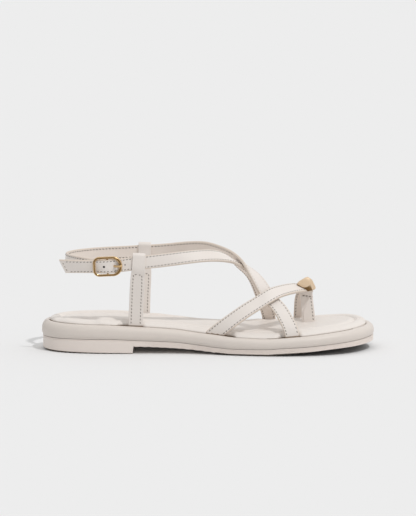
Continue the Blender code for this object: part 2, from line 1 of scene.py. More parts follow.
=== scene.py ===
# Crossover sandal for the right foot: the finished surface of every piece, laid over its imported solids.
# +X points to the toe, +Y to the inner side of the foot and +Z up. Tables of shapes are in millimetres.

import math

import bmesh
import bpy
import numpy as np
from mathutils import Matrix, Vector


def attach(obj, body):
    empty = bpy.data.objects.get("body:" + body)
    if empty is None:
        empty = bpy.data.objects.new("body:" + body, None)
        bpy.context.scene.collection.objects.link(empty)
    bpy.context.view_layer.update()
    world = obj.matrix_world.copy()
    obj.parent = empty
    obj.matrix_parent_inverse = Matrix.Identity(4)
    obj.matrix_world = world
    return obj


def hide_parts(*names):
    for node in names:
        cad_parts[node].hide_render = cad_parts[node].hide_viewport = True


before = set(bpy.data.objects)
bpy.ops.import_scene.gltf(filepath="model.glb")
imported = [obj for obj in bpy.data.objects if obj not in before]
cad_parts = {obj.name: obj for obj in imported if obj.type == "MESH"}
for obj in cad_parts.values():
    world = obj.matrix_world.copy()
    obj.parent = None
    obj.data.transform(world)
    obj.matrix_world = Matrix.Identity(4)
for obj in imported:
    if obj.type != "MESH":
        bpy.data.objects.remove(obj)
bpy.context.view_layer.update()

# Outsole
# A moulded rubber unit with its low heel in one wall. Its edge is stepped up off the floor round a tread,
# with fine ribs round the forepart and a groove below the seam. The tread and its step, where low or under
# the forepart, are painted dark as shade under the sole. Its top is cemented to the platform.
MM = 0.001
SOLE_LENGTH = 254.0
SOLE_STATIONS = 240
SEAM_GAP = 0.3
HEEL_BREAST_X = -56.9
BREAST_SLOPE = 0.7
HEEL_TUCK = 0.9
TOE_TUCK = 0.4
TREAD_INSET = 1.2
TREAD_SLOPE = 0.6
TREAD_RIB = 0.3
TREAD_SHADE_TOP = 1.5
TREAD_SHADE_BACK = 5.0
FLOOR_ROUND = 0.4
FLOOR_ROUND_STEPS = 4
SEAM_GROOVE_DROP = 0.8
SEAM_GROOVE_DEPTH = 0.3
SEAM_GROOVE_HALF = 0.25
RIB_LEVELS = (0.12, 0.27, 0.42, 0.57)
RIB_DEPTH = 0.2
RIB_HALF = 0.2
RIB_FADE = (-60.0, -40.0)
SHINE_DRIFT = 0.05
RUBBER_LIGHT = (0.82, 0.745, 0.69)
RUBBER_DARK = (0.785, 0.705, 0.65)
# Tread colours: painted shade under the stepped edge and under the forepart
TREAD_SHADE_LIGHT = (0.16, 0.135, 0.115)
TREAD_SHADE_DARK = (0.12, 0.10, 0.085)

# Outline at the widest line of the rim. Columns: x, outer side y, inner side y
SOLE_OUTLINE = np.array([
    (-127.0, 0.0, 0.0),
    (-118.0, -20.2, 20.2),
    (-110.0, -25.4, 25.2),
    (-90.0, -30.6, 30.0),
    (-62.0, -31.8, 31.6),
    (-25.0, -31.4, 29.8),
    (-8.0, -33.2, 33.0),
    (11.0, -38.3, 38.4),
    (30.0, -42.6, 42.8),
    (55.0, -45.0, 44.9),
    (75.0, -43.8, 45.0),
    (95.0, -38.3, 44.0),
    (110.0, -29.7, 39.5),
    (120.0, -17.6, 29.6),
    (127.0, 5.5, 5.5),
])

# Columns: x, underside of forepart and shank, seam, top of the rim, height of the footbed border over it
SOLE_HEIGHTS = np.array([
    (-127.0, 5.4, 10.8, 22.6, 2.9),
    (-105.0, 5.4, 10.9, 22.0, 4.3),
    (-75.0, 5.4, 11.0, 21.4, 4.9),
    (-55.0, 5.2, 10.2, 20.4, 5.0),
    (-25.0, 4.0, 8.9, 18.4, 4.6),
    (-10.0, 2.8, 7.3, 16.3, 4.8),
    (6.0, 1.2, 5.7, 14.7, 5.0),
    (20.0, 0.0, 4.9, 13.4, 5.1),
    (44.0, 0.0, 5.1, 12.8, 5.1),
    (54.0, 0.8, 5.8, 13.3, 5.1),
    (74.0, 2.4, 6.9, 14.7, 4.9),
    (100.0, 4.5, 8.8, 17.0, 4.4),
    (127.0, 5.8, 10.7, 19.0, 3.9),
])

# How far the edge stands off the floor round the tread. Columns: x, lift
EDGE_LIFT = np.array([
    (-127.0, 1.6),
    (-113.0, 1.25),
    (-90.0, 0.85),
    (-57.0, 0.5),
    (-20.0, 0.4),
    (5.0, 0.8),
    (20.0, 1.4),
    (50.0, 1.4),
    (80.0, 0.6),
    (127.0, 0.4),
])


def spline(knots, values, at):
    """Natural cubic curve through the rows of values at the knots, read at the places in at."""
    steps = np.diff(knots)[:, None]
    slopes = np.diff(values, axis=0) / steps
    inner = np.arange(1, len(knots) - 1)
    system = np.eye(len(knots))
    system[inner, inner - 1] = steps[:-1, 0]
    system[inner, inner] = 2.0 * (steps[:-1, 0] + steps[1:, 0])
    system[inner, inner + 1] = steps[1:, 0]
    right = np.zeros(values.shape)
    right[1:-1] = 6.0 * np.diff(slopes, axis=0)
    bend = np.linalg.solve(system, right)
    cell = np.clip(np.searchsorted(knots, at, side="right") - 1, 0, len(knots) - 2)
    away = (at - knots[cell])[:, None]
    step = steps[cell]
    start = slopes[cell] - step * (2.0 * bend[cell] + bend[cell + 1]) / 6.0
    twist = (bend[cell + 1] - bend[cell]) / (6.0 * step)
    return values[cell] + away * (start + away * (0.5 * bend[cell] + away * twist))


def gentle(knots, values, at):
    """Cubic pieces through the values, with harmonic mean slopes at the knots so that none overshoots."""
    steps = np.diff(knots)
    slopes = np.diff(values) / steps
    product = slopes[:-1] * slopes[1:]
    total = np.where(product > 0.0, slopes[:-1] + slopes[1:], 1.0)
    middle = np.where(product > 0.0, 2.0 * product / total, 0.0)
    tangent = np.concatenate([slopes[:1], middle, slopes[-1:]])
    cell = np.clip(np.searchsorted(knots, at, side="right") - 1, 0, len(knots) - 2)
    share = (at - knots[cell]) / steps[cell]
    rise = share * share * (3.0 - 2.0 * share)
    lean_out = share * (1.0 - share) ** 2 * steps[cell] * tangent[cell]
    lean_in = share * share * (share - 1.0) * steps[cell] * tangent[cell + 1]
    return values[cell] + rise * (values[cell + 1] - values[cell]) + lean_out + lean_in


def unit(vectors):
    """Each row at length one."""
    return vectors / np.linalg.norm(vectors, axis=-1, keepdims=True)


def smooth_step(low, high, value):
    """0 below low, 1 above high, and a smooth S between them."""
    share = np.clip((value - low) / (high - low), 0.0, 1.0)
    return share * share * (3.0 - 2.0 * share)


def sole_stations():
    """Stations along the sole by even angles of a half circle, with a close pair at the heel breast."""
    half = SOLE_LENGTH / 2.0
    x = -half * np.cos(np.linspace(0.0, math.pi, SOLE_STATIONS + 1))
    x = x[np.abs(x - HEEL_BREAST_X) > BREAST_SLOPE]
    return np.sort(np.append(x, HEEL_BREAST_X + BREAST_SLOPE * np.array([-0.5, 0.5])))


def sole_sides(x):
    """Outline points of both sides as a spline over the angle of each station, and their inward normals."""
    half = SOLE_LENGTH / 2.0
    knots = np.arccos(-SOLE_OUTLINE[:, 0] / half)
    angles = np.arccos(np.clip(-x / half, -1.0, 1.0))
    sides = spline(knots, SOLE_OUTLINE[:, 1:], angles)
    run = half * np.sin(angles)
    fall = np.gradient(sides, angles, axis=0)
    inward = [unit(np.stack([-fall[:, 0], run], axis=1)), unit(np.stack([fall[:, 1], -run], axis=1))]
    return [np.stack([x, sides[:, k]], axis=1) for k in range(2)], inward


sole_x = sole_stations()
side_points, side_inward = sole_sides(sole_x)
underside, seam, rim_top, border = (
    gentle(SOLE_HEIGHTS[:, 0], SOLE_HEIGHTS[:, column], sole_x) for column in range(1, 5)
)
tuck = np.interp(sole_x, [sole_x[0], sole_x[-1]], [HEEL_TUCK, TOE_TUCK])


def sole_ring(inset, height):
    """The outline moved in along its normals, at a height: outer side heel to toe, then inner side back."""
    inset = np.broadcast_to(inset, (2, len(sole_x)))
    height = np.broadcast_to(height, (2, len(sole_x)))
    outer, inner = (
        np.column_stack([side_points[k] + inset[k][:, None] * side_inward[k], height[k]]) for k in range(2)
    )
    return np.concatenate([outer, inner[-2:0:-1]])


def ring_faces(rows, count):
    """Four-sided faces between neighbouring rings of count points, each ring closed on itself."""
    index = np.arange(rows * count).reshape(rows, count)
    after = np.roll(index, -1, axis=1)
    return np.stack([index[:-1], after[:-1], after[1:], index[1:]], axis=-1).reshape(-1, 4)


def ladder(count):
    """Cap of a ring that runs up one side and down the other: faces straight across, station by station."""
    i = np.arange(1, count // 2 - 1)
    rungs = np.stack([i, i + 1, count - i - 1, count - i], axis=1).tolist()
    middle = count // 2
    return [[0, 1, count - 1], *rungs, [middle - 1, middle, middle + 1]]


def make_piece(name, points, faces, finishes, sharp=40.0):
    """Mesh object from points in millimetres, doubles merged, faces turned outwards and shaded smooth."""
    mesh = bpy.data.meshes.new(name)
    mesh.from_pydata((np.asarray(points) * MM).tolist(), [], faces)
    bm = bmesh.new()
    bm.from_mesh(mesh)
    bmesh.ops.remove_doubles(bm, verts=bm.verts, dist=1e-7)
    bmesh.ops.recalc_face_normals(bm, faces=bm.faces)
    bm.to_mesh(mesh)
    bm.free()
    mesh.shade_smooth()
    mesh.set_sharp_from_angle(angle=math.radians(sharp))
    for finish in finishes:
        mesh.materials.append(finish)
    piece = bpy.data.objects.new(name, mesh)
    bpy.context.scene.collection.objects.link(piece)
    return piece


def shell(name, rings, finishes, caps, sharp=40.0):
    """Closed piece over a stack of rings, with the named ends capped by ladders."""
    rings = np.asarray(rings)
    rows, count = rings.shape[:2]
    faces = ring_faces(rows, count).tolist()
    for end in caps:
        offset = 0 if end == "first" else (rows - 1) * count
        faces += [[offset + corner for corner in face] for face in ladder(count)]
    return make_piece(name, rings.reshape(-1, 3), faces, finishes, sharp)


def rows_of(elements, field):
    """A field of three numbers of every vertex or face of a mesh, as rows."""
    rows = np.empty(3 * len(elements), dtype=np.float32)
    elements.foreach_get(field, rows)
    return rows.reshape(-1, 3)


def new_group(name, inputs, outputs):
    """Empty shader node group with named float inputs and outputs; gives it and its two end nodes."""
    group = bpy.data.node_groups.new(name, "ShaderNodeTree")
    for label in inputs:
        group.interface.new_socket(label, in_out="INPUT", socket_type="NodeSocketFloat")
    for label in outputs:
        group.interface.new_socket(label, in_out="OUTPUT", socket_type="NodeSocketFloat")
    return group, group.nodes.new("NodeGroupInput"), group.nodes.new("NodeGroupOutput")


def make_mottle():
    """Soft cloudy tone over the object's own coordinates: two sizes of noise averaged."""
    group, given, result = new_group("mottle", ["Scale"], ["Tone"])
    place = group.nodes.new("ShaderNodeTexCoord")
    broad = group.nodes.new("ShaderNodeTexNoise")
    fine = group.nodes.new("ShaderNodeTexNoise")
    fine.inputs["Detail"].default_value = 6.0
    finer = group.nodes.new("ShaderNodeMath")
    finer.operation = "MULTIPLY"
    finer.inputs[1].default_value = 7.0
    mean = group.nodes.new("ShaderNodeMix")
    mean.inputs["Factor"].default_value = 0.35
    link = group.links.new
    link(given.outputs["Scale"], broad.inputs["Scale"])
    link(given.outputs["Scale"], finer.inputs[0])
    link(finer.outputs[0], fine.inputs["Scale"])
    link(place.outputs["Object"], broad.inputs["Vector"])
    link(place.outputs["Object"], fine.inputs["Vector"])
    link(broad.outputs["Fac"], mean.inputs["A"])
    link(fine.outputs["Fac"], mean.inputs["B"])
    link(mean.outputs["Result"], result.inputs["Tone"])
    return group


def make_grain():
    """Leather grain height: soft cells of the given number to a metre, broken up by a finer noise."""
    group, given, result = new_group("grain", ["Cells"], ["Height"])
    place = group.nodes.new("ShaderNodeTexCoord")
    cells = group.nodes.new("ShaderNodeTexVoronoi")
    cells.feature = "SMOOTH_F1"
    cells.inputs["Smoothness"].default_value = 0.35
    pores = group.nodes.new("ShaderNodeTexNoise")
    pores.inputs["Detail"].default_value = 4.0
    mix = group.nodes.new("ShaderNodeMath")
    mix.operation = "MULTIPLY_ADD"
    mix.inputs[1].default_value = -0.8
    link = group.links.new
    link(given.outputs["Cells"], cells.inputs["Scale"])
    link(given.outputs["Cells"], pores.inputs["Scale"])
    link(place.outputs["Object"], cells.inputs["Vector"])
    link(place.outputs["Object"], pores.inputs["Vector"])
    link(cells.outputs["Distance"], mix.inputs[0])
    link(pores.outputs["Fac"], mix.inputs[2])
    link(mix.outputs[0], result.inputs["Height"])
    return group


mottle_group = make_mottle()
grain_group = make_grain()


def new_finish(name):
    """Finish with a plain shader; gives it with its nodes, the function that links them and the shader."""
    material = bpy.data.materials.new(name)
    material.use_nodes = True
    tree = material.node_tree
    return material, tree.nodes, tree.links.new, tree.nodes["Principled BSDF"]


def mottled_colour(nodes, link, scale, dark, light):
    """Colour that drifts from dark to light with the mottle; gives the mottle's tone and the colour."""
    tone = nodes.new("ShaderNodeGroup")
    tone.node_tree = mottle_group
    tone.inputs["Scale"].default_value = scale
    colour = nodes.new("ShaderNodeMix")
    colour.data_type = "RGBA"
    colour.inputs["A"].default_value = (*dark, 1.0)
    colour.inputs["B"].default_value = (*light, 1.0)
    link(tone.outputs["Tone"], colour.inputs["Factor"])
    return tone.outputs["Tone"], colour.outputs["Result"]


def grained_finish(name, light, dark, mottle, cells, depth, rough, gloss):
    """Mottled finish with grain of a depth in millimetres; its roughness drifts with the mottle too."""
    material, nodes, link, shader = new_finish(name)
    shader.inputs["Specular IOR Level"].default_value = gloss
    tone, colour = mottled_colour(nodes, link, mottle, dark, light)
    shine = nodes.new("ShaderNodeMapRange")
    shine.inputs["To Min"].default_value = rough + SHINE_DRIFT
    shine.inputs["To Max"].default_value = rough - SHINE_DRIFT
    grain = nodes.new("ShaderNodeGroup")
    grain.node_tree = grain_group
    grain.inputs["Cells"].default_value = cells
    bump = nodes.new("ShaderNodeBump")
    bump.inputs["Strength"].default_value = 0.6
    bump.inputs["Distance"].default_value = depth * MM
    link(tone, shine.inputs["Value"])
    link(colour, shader.inputs["Base Color"])
    link(shine.outputs["Result"], shader.inputs["Roughness"])
    link(grain.outputs["Height"], bump.inputs["Height"])
    link(bump.outputs["Normal"], shader.inputs["Normal"])
    return material


def outsole_rings():
    """Tread, then the edge stepped up off the floor and rounded, with ribs and seam groove as shallow Vs."""
    bottom = np.where(sole_x < HEEL_BREAST_X, 0.0, underside)
    edge = bottom + np.interp(sole_x, EDGE_LIFT[:, 0], EDGE_LIFT[:, 1])
    top = seam - SEAM_GAP / 2.0
    ribbed = bottom + TREAD_RIB * (np.arange(len(sole_x)) // 2 % 2)
    rings = [sole_ring(tuck + TREAD_INSET + TREAD_SLOPE, ribbed), sole_ring(tuck + TREAD_INSET, edge)]
    for angle in np.linspace(0.0, math.pi / 2.0, FLOOR_ROUND_STEPS):
        inset = tuck + FLOOR_ROUND * (1.0 - math.sin(angle))
        rings.append(sole_ring(inset, edge + FLOOR_ROUND * (1.0 - math.cos(angle))))
    fade = np.clip((sole_x - RIB_FADE[0]) / (RIB_FADE[1] - RIB_FADE[0]), 0.0, 1.0)
    wall = top - edge - FLOOR_ROUND
    grooves = [(edge + FLOOR_ROUND + level * wall, RIB_DEPTH * fade, RIB_HALF) for level in RIB_LEVELS]
    grooves.append((top - SEAM_GROOVE_DROP, SEAM_GROOVE_DEPTH, SEAM_GROOVE_HALF))
    for height, depth, half in grooves:
        rings.append(sole_ring(tuck, height - half))
        rings.append(sole_ring(tuck + depth, height))
        rings.append(sole_ring(tuck, height + half))
    rings.append(sole_ring(tuck, top))
    return rings


rubber = grained_finish(
    "outsole_rubber", RUBBER_LIGHT, RUBBER_DARK,
    mottle=30.0, cells=2600.0, depth=0.03, rough=0.55, gloss=0.4,
)
tread_painted_shade = grained_finish(
    "tread_painted_shade", TREAD_SHADE_LIGHT, TREAD_SHADE_DARK,
    mottle=30.0, cells=2600.0, depth=0.03, rough=0.6, gloss=0.4,
)
outsole_stack = outsole_rings()
outsole = shell("outsole_unit", outsole_stack, [rubber, tread_painted_shade], ("first", "last"), sharp=25.0)
ring_size = len(outsole_stack[0])
cap_start = (len(outsole_stack) - 1) * ring_size
face_numbers = np.arange(len(outsole.data.polygons))
on_step = face_numbers < ring_size
on_cap = (face_numbers >= cap_start) & (face_numbers < cap_start + len(ladder(ring_size)))
face_middles = rows_of(outsole.data.polygons, "center") / MM
# Faces of the tread and its step that lie low or under the forepart are painted dark as shade
low_or_forward = (face_middles[:, 2] < TREAD_SHADE_TOP) | (face_middles[:, 0] > TREAD_SHADE_BACK)
on_painted_tread = (on_step | on_cap) & low_or_forward
outsole.data.polygons.foreach_set("material_index", on_painted_tread.astype(np.int32))
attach(outsole, "root")
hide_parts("outsole")

# Platform
# A light board wrapped in the upper's leather, which bulges into a soft roll round the edge and dips inside
# it to a shallow tray for the footbed.
ROLL_TURN = 0.36
ROLL_POWER = 2.2
ROLL_LOWER_STEPS = 9
ROLL_UPPER_STEPS = 26
TRAY_INSET = 6.2
TRAY_DEPTH = 4.0
WRAP_LIGHT = (0.72, 0.657, 0.603)
WRAP_DARK = (0.68, 0.614, 0.56)

# Columns: inset from the outline, share of the way from seam to rim top
RIM_ROLL = np.array([
    (0.0, 0.36),
    (0.25, 0.60),
    (1.3, 0.82),
    (3.0, 0.965),
    (4.6, 1.0),
    (5.7, 0.95),
    (6.15, 0.82),
])


def through_rows(table, steps):
    """Spline through the rows of a table, one knot a row, read at even steps."""
    knots = np.arange(len(table), dtype=float)
    return spline(knots, table, np.linspace(0.0, knots[-1], steps))


def platform_rings():
    """Rim by a power curve from the seam out to its widest line, then over the roll and down to the tray."""
    bottom = seam + SEAM_GAP / 2.0
    rings = []
    for share in np.linspace(0.0, ROLL_TURN, ROLL_LOWER_STEPS)[:-1]:
        inset = (tuck + SEAM_GAP) * (1.0 - share / ROLL_TURN) ** ROLL_POWER
        rings.append(sole_ring(inset, bottom + share * (rim_top - bottom)))
    for inset, share in through_rows(RIM_ROLL, ROLL_UPPER_STEPS):
        rings.append(sole_ring(inset, bottom + share * (rim_top - bottom)))
    rings.append(sole_ring(TRAY_INSET, rim_top - TRAY_DEPTH))
    return rings


wrap_leather = grained_finish(
    "platform_leather", WRAP_LIGHT, WRAP_DARK,
    mottle=26.0, cells=1700.0, depth=0.05, rough=0.46, gloss=0.45,
)
platform = shell("wrapped_platform", platform_rings(), [wrap_leather], ("first", "last"))
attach(platform, "root")
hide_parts("midsole")

# Footbed
# A foam pad under soft leather, with a puffy border sewn off from the middle panel. The border has settled
# in troughs and ridges and is pressed in where a strap goes down beside it. The pad is dimpled round the toe
# post, and its wall low down in the gap beside the rim is painted dark as shade.
BORDER_STEPS = 46
PANEL_STEPS = 14
PANEL_DIP = 0.35
DENT_DEPTH = (5.0, 2.6)
DENT_DROP = (0.5, 0.0)
DENT_EASE = 5.2
SAG_EASE = 12.0
SAG = (0.62, 0.25)
POST_PLACE = (77.3, 13.8)
POST_DIMPLE = 0.6
POST_DIMPLE_REACH = 7.0
FOOTBED_LIGHT = (0.80, 0.75, 0.706)
FOOTBED_DARK = (0.77, 0.716, 0.668)
FOOTBED_GAP = 0.05
# Painted shade for faces low in the gap inside the rim: the footbed wall and the feet of straps, keepers and
# post
GAP_SHADE_LIGHT = (0.34, 0.27, 0.215)
GAP_SHADE_DARK = (0.29, 0.225, 0.175)

# Columns: inset from the outline, height over the rim top, share of the border height
FOOTBED_PROFILE = np.array([
    (7.2, -3.7, 0.0),
    (6.4, -2.6, 0.0),
    (6.25, -0.4, 0.06),
    (6.5, 0.0, 0.36),
    (7.5, 0.0, 0.68),
    (9.2, 0.0, 0.91),
    (11.0, 0.0, 1.0),
    (12.7, -0.2, 1.0),
    (14.2, -0.95, 1.0),
    (15.1, -1.75, 1.0),
    (15.9, -1.5, 1.0),
    (17.5, -1.05, 1.0),
    (19.5, -1.0, 1.0),
])

# Where straps press the border. Columns: side (0 outer, 1 inner), x where the dent starts, x where it ends
STRAP_DENTS = [
    (0, -70.5, -47.5),
    (0, -4.0, 20.5),
    (0, 51.0, 72.5),
    (1, -57.0, -43.0),
    (1, 40.5, 54.5),
    (1, 64.0, 78.5),
]

# Troughs and ridges of the border on the outer and the inner side. Columns: x, share of its height lost
OUTER_SAG = np.array([
    (-127.0, 0.0),
    (-124.5, 0.05),
    (-119.5, 0.5),
    (-114.5, 0.32),
    (-101.0, 0.55),
    (-88.0, 0.7),
    (-82.0, 0.46),
    (-76.0, 0.66),
    (-71.0, 0.8),
    (-62.0, 0.5),
    (14.0, 0.5),
    (24.0, 0.7),
    (50.0, 0.7),
    (60.0, 0.5),
    (127.0, 0.5),
])
INNER_SAG = np.array([
    (-127.0, 0.0),
    (-40.0, 0.0),
    (-26.0, 0.2),
    (-9.0, 0.42),
    (12.0, 0.48),
    (28.0, 0.3),
    (42.0, 0.0),
    (127.0, 0.0),
])


def pressed_border(ease, margin):
    """For each side and station, how far a strap presses the border: 1 behind it, easing to 0 beside it."""
    amount = np.zeros((2, len(sole_x)))
    for side, start, end in STRAP_DENTS:
        past_start = smooth_step(0.0, ease, sole_x - start + margin)
        before_end = smooth_step(0.0, ease, end + margin - sole_x)
        amount[side] = np.maximum(amount[side], past_start * before_end)
    return amount


def footbed_rings():
    """Wall, border and sewn line as rings of growing inset, then the panel drawn in to the midline."""
    dent = pressed_border(DENT_EASE, 0.0)
    sag = np.array(SAG)[:, None] * pressed_border(SAG_EASE, SAG_EASE / 2.0)
    creases = [gentle(*table.T, sole_x) for table in (OUTER_SAG, INNER_SAG)]
    sag = np.maximum(sag, creases)
    depth, drop = (np.array(pair)[:, None] for pair in (DENT_DEPTH, DENT_DROP))
    first, last = FOOTBED_PROFILE[:, 0].min(), FOOTBED_PROFILE[-1, 0]
    rings = []
    for inset, height, share in through_rows(FOOTBED_PROFILE, BORDER_STEPS):
        give = np.clip((last - inset) / (last - first), 0.0, 1.0)
        lift = share * border * (1.0 - give * np.maximum(drop * dent, sag))
        rings.append(sole_ring(inset + depth * dent * give, rim_top + height + lift))
    edge = rings[-1]
    count = len(edge)
    across = edge[(count - np.arange(count)) % count]
    midline = (edge + across) / 2.0
    for share in np.linspace(0.0, 1.0, PANEL_STEPS + 1)[1:]:
        ring = edge + share * (midline - edge)
        ring[:, 2] -= PANEL_DIP * smooth_step(0.0, 1.0, share)
        rings.append(ring)
    rings = np.array(rings)
    gap = np.linalg.norm(rings[:, :, :2] - np.array(POST_PLACE), axis=2)
    rings[:, :, 2] -= POST_DIMPLE * np.exp(-(gap / POST_DIMPLE_REACH) ** 2)
    return rings


def paint_gap_shade(piece, number, reach):
    """Faces in the gap inside the rim, up to a reach over its top, take the finish of the given number:
    painted shade.
    """
    faces = piece.data.polygons
    middles = rows_of(faces, "center") / MM
    kinds = np.empty(len(faces), dtype=np.int32)
    faces.foreach_get("material_index", kinds)
    kinds[middles[:, 2] < np.interp(middles[:, 0], sole_x, rim_top) + reach] = number
    faces.foreach_set("material_index", kinds)


gap_painted_shade = grained_finish(
    "gap_painted_shade", GAP_SHADE_LIGHT, GAP_SHADE_DARK,
    mottle=60.0, cells=3000.0, depth=0.02, rough=0.8, gloss=0.2,
)
footbed_leather = grained_finish(
    "footbed_leather", FOOTBED_LIGHT, FOOTBED_DARK,
    mottle=22.0, cells=1900.0, depth=0.04, rough=0.5, gloss=0.4,
)
footbed = shell("padded_footbed", footbed_rings(), [footbed_leather, gap_painted_shade], ("first",))
paint_gap_shade(footbed, 1, FOOTBED_GAP)
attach(footbed, "root")
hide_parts("insole")

# Straps
# Three straps of folded leather with a soft lining, round edges in darker edge paint that also stands in for
# painted shade on edges that face down, and a sewing line sunk down both sides. The tail strap ends free
# with punched holes, the buckle strap crosses over it and the toe strap over both. Their feet go down into
# the gap beside the footbed and are painted dark there as shade.
BAND_THICK = 2.0
TAIL_THICK = 1.8
STRAP_STEP = 0.8
STRAP_EDGE = 0.7
EDGE_STEPS = 5
CROWN = 0.22
LINING_CROWN = 0.05
STRAP_GAP = 0.7
STITCH_PLACE = 0.84
STITCH_SINK = 0.05
STITCH_SPREAD = 0.055
SEWN_LINE_REACH = 2.4
SEWN_LINE_POINTS = 9
FACE_PLACES = (0.0, 0.2, 0.4, 0.55)
TAIL_SLANT = -0.40
TOE_STRAP_FOOT_SLANT = -1.0
SLANT_REACH = 16.0
HOLE_DEPTH = 1.5
HOLE_SIDES = 20
# Near-black painted shade inside the blind holes
HOLE_SHADE_COLOUR = (0.05, 0.04, 0.035)
RIPPLE_PITCH = 3.4
RIPPLE = 0.3
RIPPLE_LEAN = 1.4
RIPPLE_STARTS = (9.0, 14.0)
RIPPLE_FADES = (24.0, 32.0)
STRAP_LIGHT = (0.808, 0.752, 0.706)
STRAP_DARK = (0.773, 0.712, 0.663)
LINING_LIGHT = (0.86, 0.785, 0.725)
LINING_DARK = (0.81, 0.725, 0.66)
# Edge colour: brown edge paint, made darker as painted shade for the edges that face down
EDGE_DYE_AND_SHADE_LIGHT = (0.73, 0.645, 0.565)
EDGE_DYE_AND_SHADE_DARK = (0.665, 0.575, 0.495)
# Holes of the tail strap. Columns: x, radius
HOLES = ((-78.7, 0.85), (-71.2, 0.85), (-63.0, 0.5))
# Where a strap eases away from the one over it. Columns: strap, x, reach along x, shift along its facing
EASED = (
    ("tail_strap", 27.0, 6.0, -1.5),
    ("buckle_strap", 46.5, 6.0, -2.2),
    ("toe_strap", 47.0, 9.0, 0.5),
)

# Columns: x, y, z, facing x, facing y, facing z, width, thickness
TAIL_STRAP = np.array([
    (-110.3, -27.2, 66.9, 0.0, -1.0, -0.3, 11.0, TAIL_THICK),
    (-97.0, -29.1, 67.0, 0.0, -1.0, -0.42, 11.2, TAIL_THICK),
    (-86.1, -29.8, 67.0, 0.0, -1.0, -0.25, 10.6, TAIL_THICK),
    (-76.2, -32.05, 67.2, 0.0, -1.0, 0.0, 10.3, TAIL_THICK),
    (-66.3, -29.8, 67.9, 0.0, -1.0, 0.0, 10.3, TAIL_THICK),
    (-51.9, -29.1, 69.6, 0.0, -1.0, 0.12, 10.3, TAIL_THICK),
    (-31.3, -28.0, 71.8, 0.05, -0.95, 0.3, 10.3, BAND_THICK),
    (-12.6, -25.0, 73.7, 0.15, -0.86, 0.5, 10.3, BAND_THICK),
    (-1.5, -20.5, 74.0, 0.25, -0.78, 0.58, 10.3, BAND_THICK),
    (8.0, -14.3, 72.8, 0.38, -0.6, 0.70, 10.3, BAND_THICK),
    (17.0, -7.0, 69.3, 0.48, -0.16, 0.85, 10.3, BAND_THICK),
    (26.2, 0.8, 63.2, 0.58, 0.4, 0.72, 10.3, BAND_THICK),
    (32.2, 7.8, 56.3, 0.5, 0.5, 0.7, 10.3, BAND_THICK),
    (36.8, 14.0, 48.5, 0.36, 0.6, 0.72, 10.3, BAND_THICK),
    (40.9, 21.5, 38.5, 0.22, 0.78, 0.58, 10.3, BAND_THICK),
    (45.0, 30.4, 26.5, 0.05, 0.9, 0.42, 10.3, BAND_THICK),
    (46.6, 35.0, 20.4, -0.02, 0.96, 0.25, 10.3, BAND_THICK),
    (47.4, 36.9, 15.0, -0.05, 1.0, 0.07, 10.3, BAND_THICK),
    (47.6, 37.0, 9.9, -0.05, 1.0, 0.0, 10.3, BAND_THICK),
])
BUCKLE_STRAP = np.array([
    (-75.4, -26.9, 67.2, 0.0, -1.0, 0.0, 10.3, BAND_THICK),
    (-86.0, -26.5, 67.2, -0.1, -0.99, 0.0, 10.3, BAND_THICK),
    (-95.6, -21.8, 67.9, -0.6, -0.8, 0.0, 10.3, BAND_THICK),
    (-103.6, -12.5, 68.3, -0.86, -0.45, 0.02, 10.3, BAND_THICK),
    (-107.8, 0.0, 68.5, -1.0, 0.0, 0.03, 10.3, BAND_THICK),
    (-104.3, 12.5, 68.5, -0.86, 0.45, 0.05, 10.3, BAND_THICK),
    (-96.4, 21.4, 68.5, -0.6, 0.8, 0.07, 10.3, BAND_THICK),
    (-86.0, 26.0, 68.9, -0.2, 0.98, 0.08, 10.3, BAND_THICK),
    (-70.0, 27.7, 69.6, 0.0, 1.0, 0.1, 10.3, BAND_THICK),
    (-48.7, 28.0, 70.7, 0.0, 0.99, 0.12, 10.3, BAND_THICK),
    (-31.8, 27.0, 72.2, 0.05, 0.95, 0.3, 10.3, BAND_THICK),
    (-12.9, 23.4, 74.8, 0.15, 0.86, 0.5, 10.3, BAND_THICK),
    (0.0, 17.6, 75.4, 0.25, 0.77, 0.58, 10.3, BAND_THICK),
    (9.0, 11.8, 74.2, 0.36, 0.62, 0.7, 10.3, BAND_THICK),
    (18.0, 5.2, 71.2, 0.46, 0.55, 0.7, 10.3, BAND_THICK),
    (26.6, -1.0, 65.9, 0.58, 0.28, 0.76, 10.3, BAND_THICK),
    (34.5, -7.0, 58.2, 0.5, -0.38, 0.78, 10.4, BAND_THICK),
    (42.0, -13.2, 49.2, 0.25, -0.67, 0.70, 10.6, BAND_THICK),
    (47.5, -18.2, 41.9, 0.15, -0.70, 0.70, 10.8, BAND_THICK),
    (53.9, -24.0, 34.6, 0.12, -0.78, 0.61, 11.0, BAND_THICK),
    (59.3, -30.6, 26.4, 0.1, -0.86, 0.48, 11.0, BAND_THICK),
    (62.4, -35.7, 20.6, 0.05, -0.96, 0.27, 11.0, BAND_THICK),
    (63.7, -37.3, 15.6, 0.04, -1.0, 0.08, 11.0, BAND_THICK),
    (63.9, -37.4, 10.8, 0.04, -1.0, 0.0, 11.0, BAND_THICK),
])
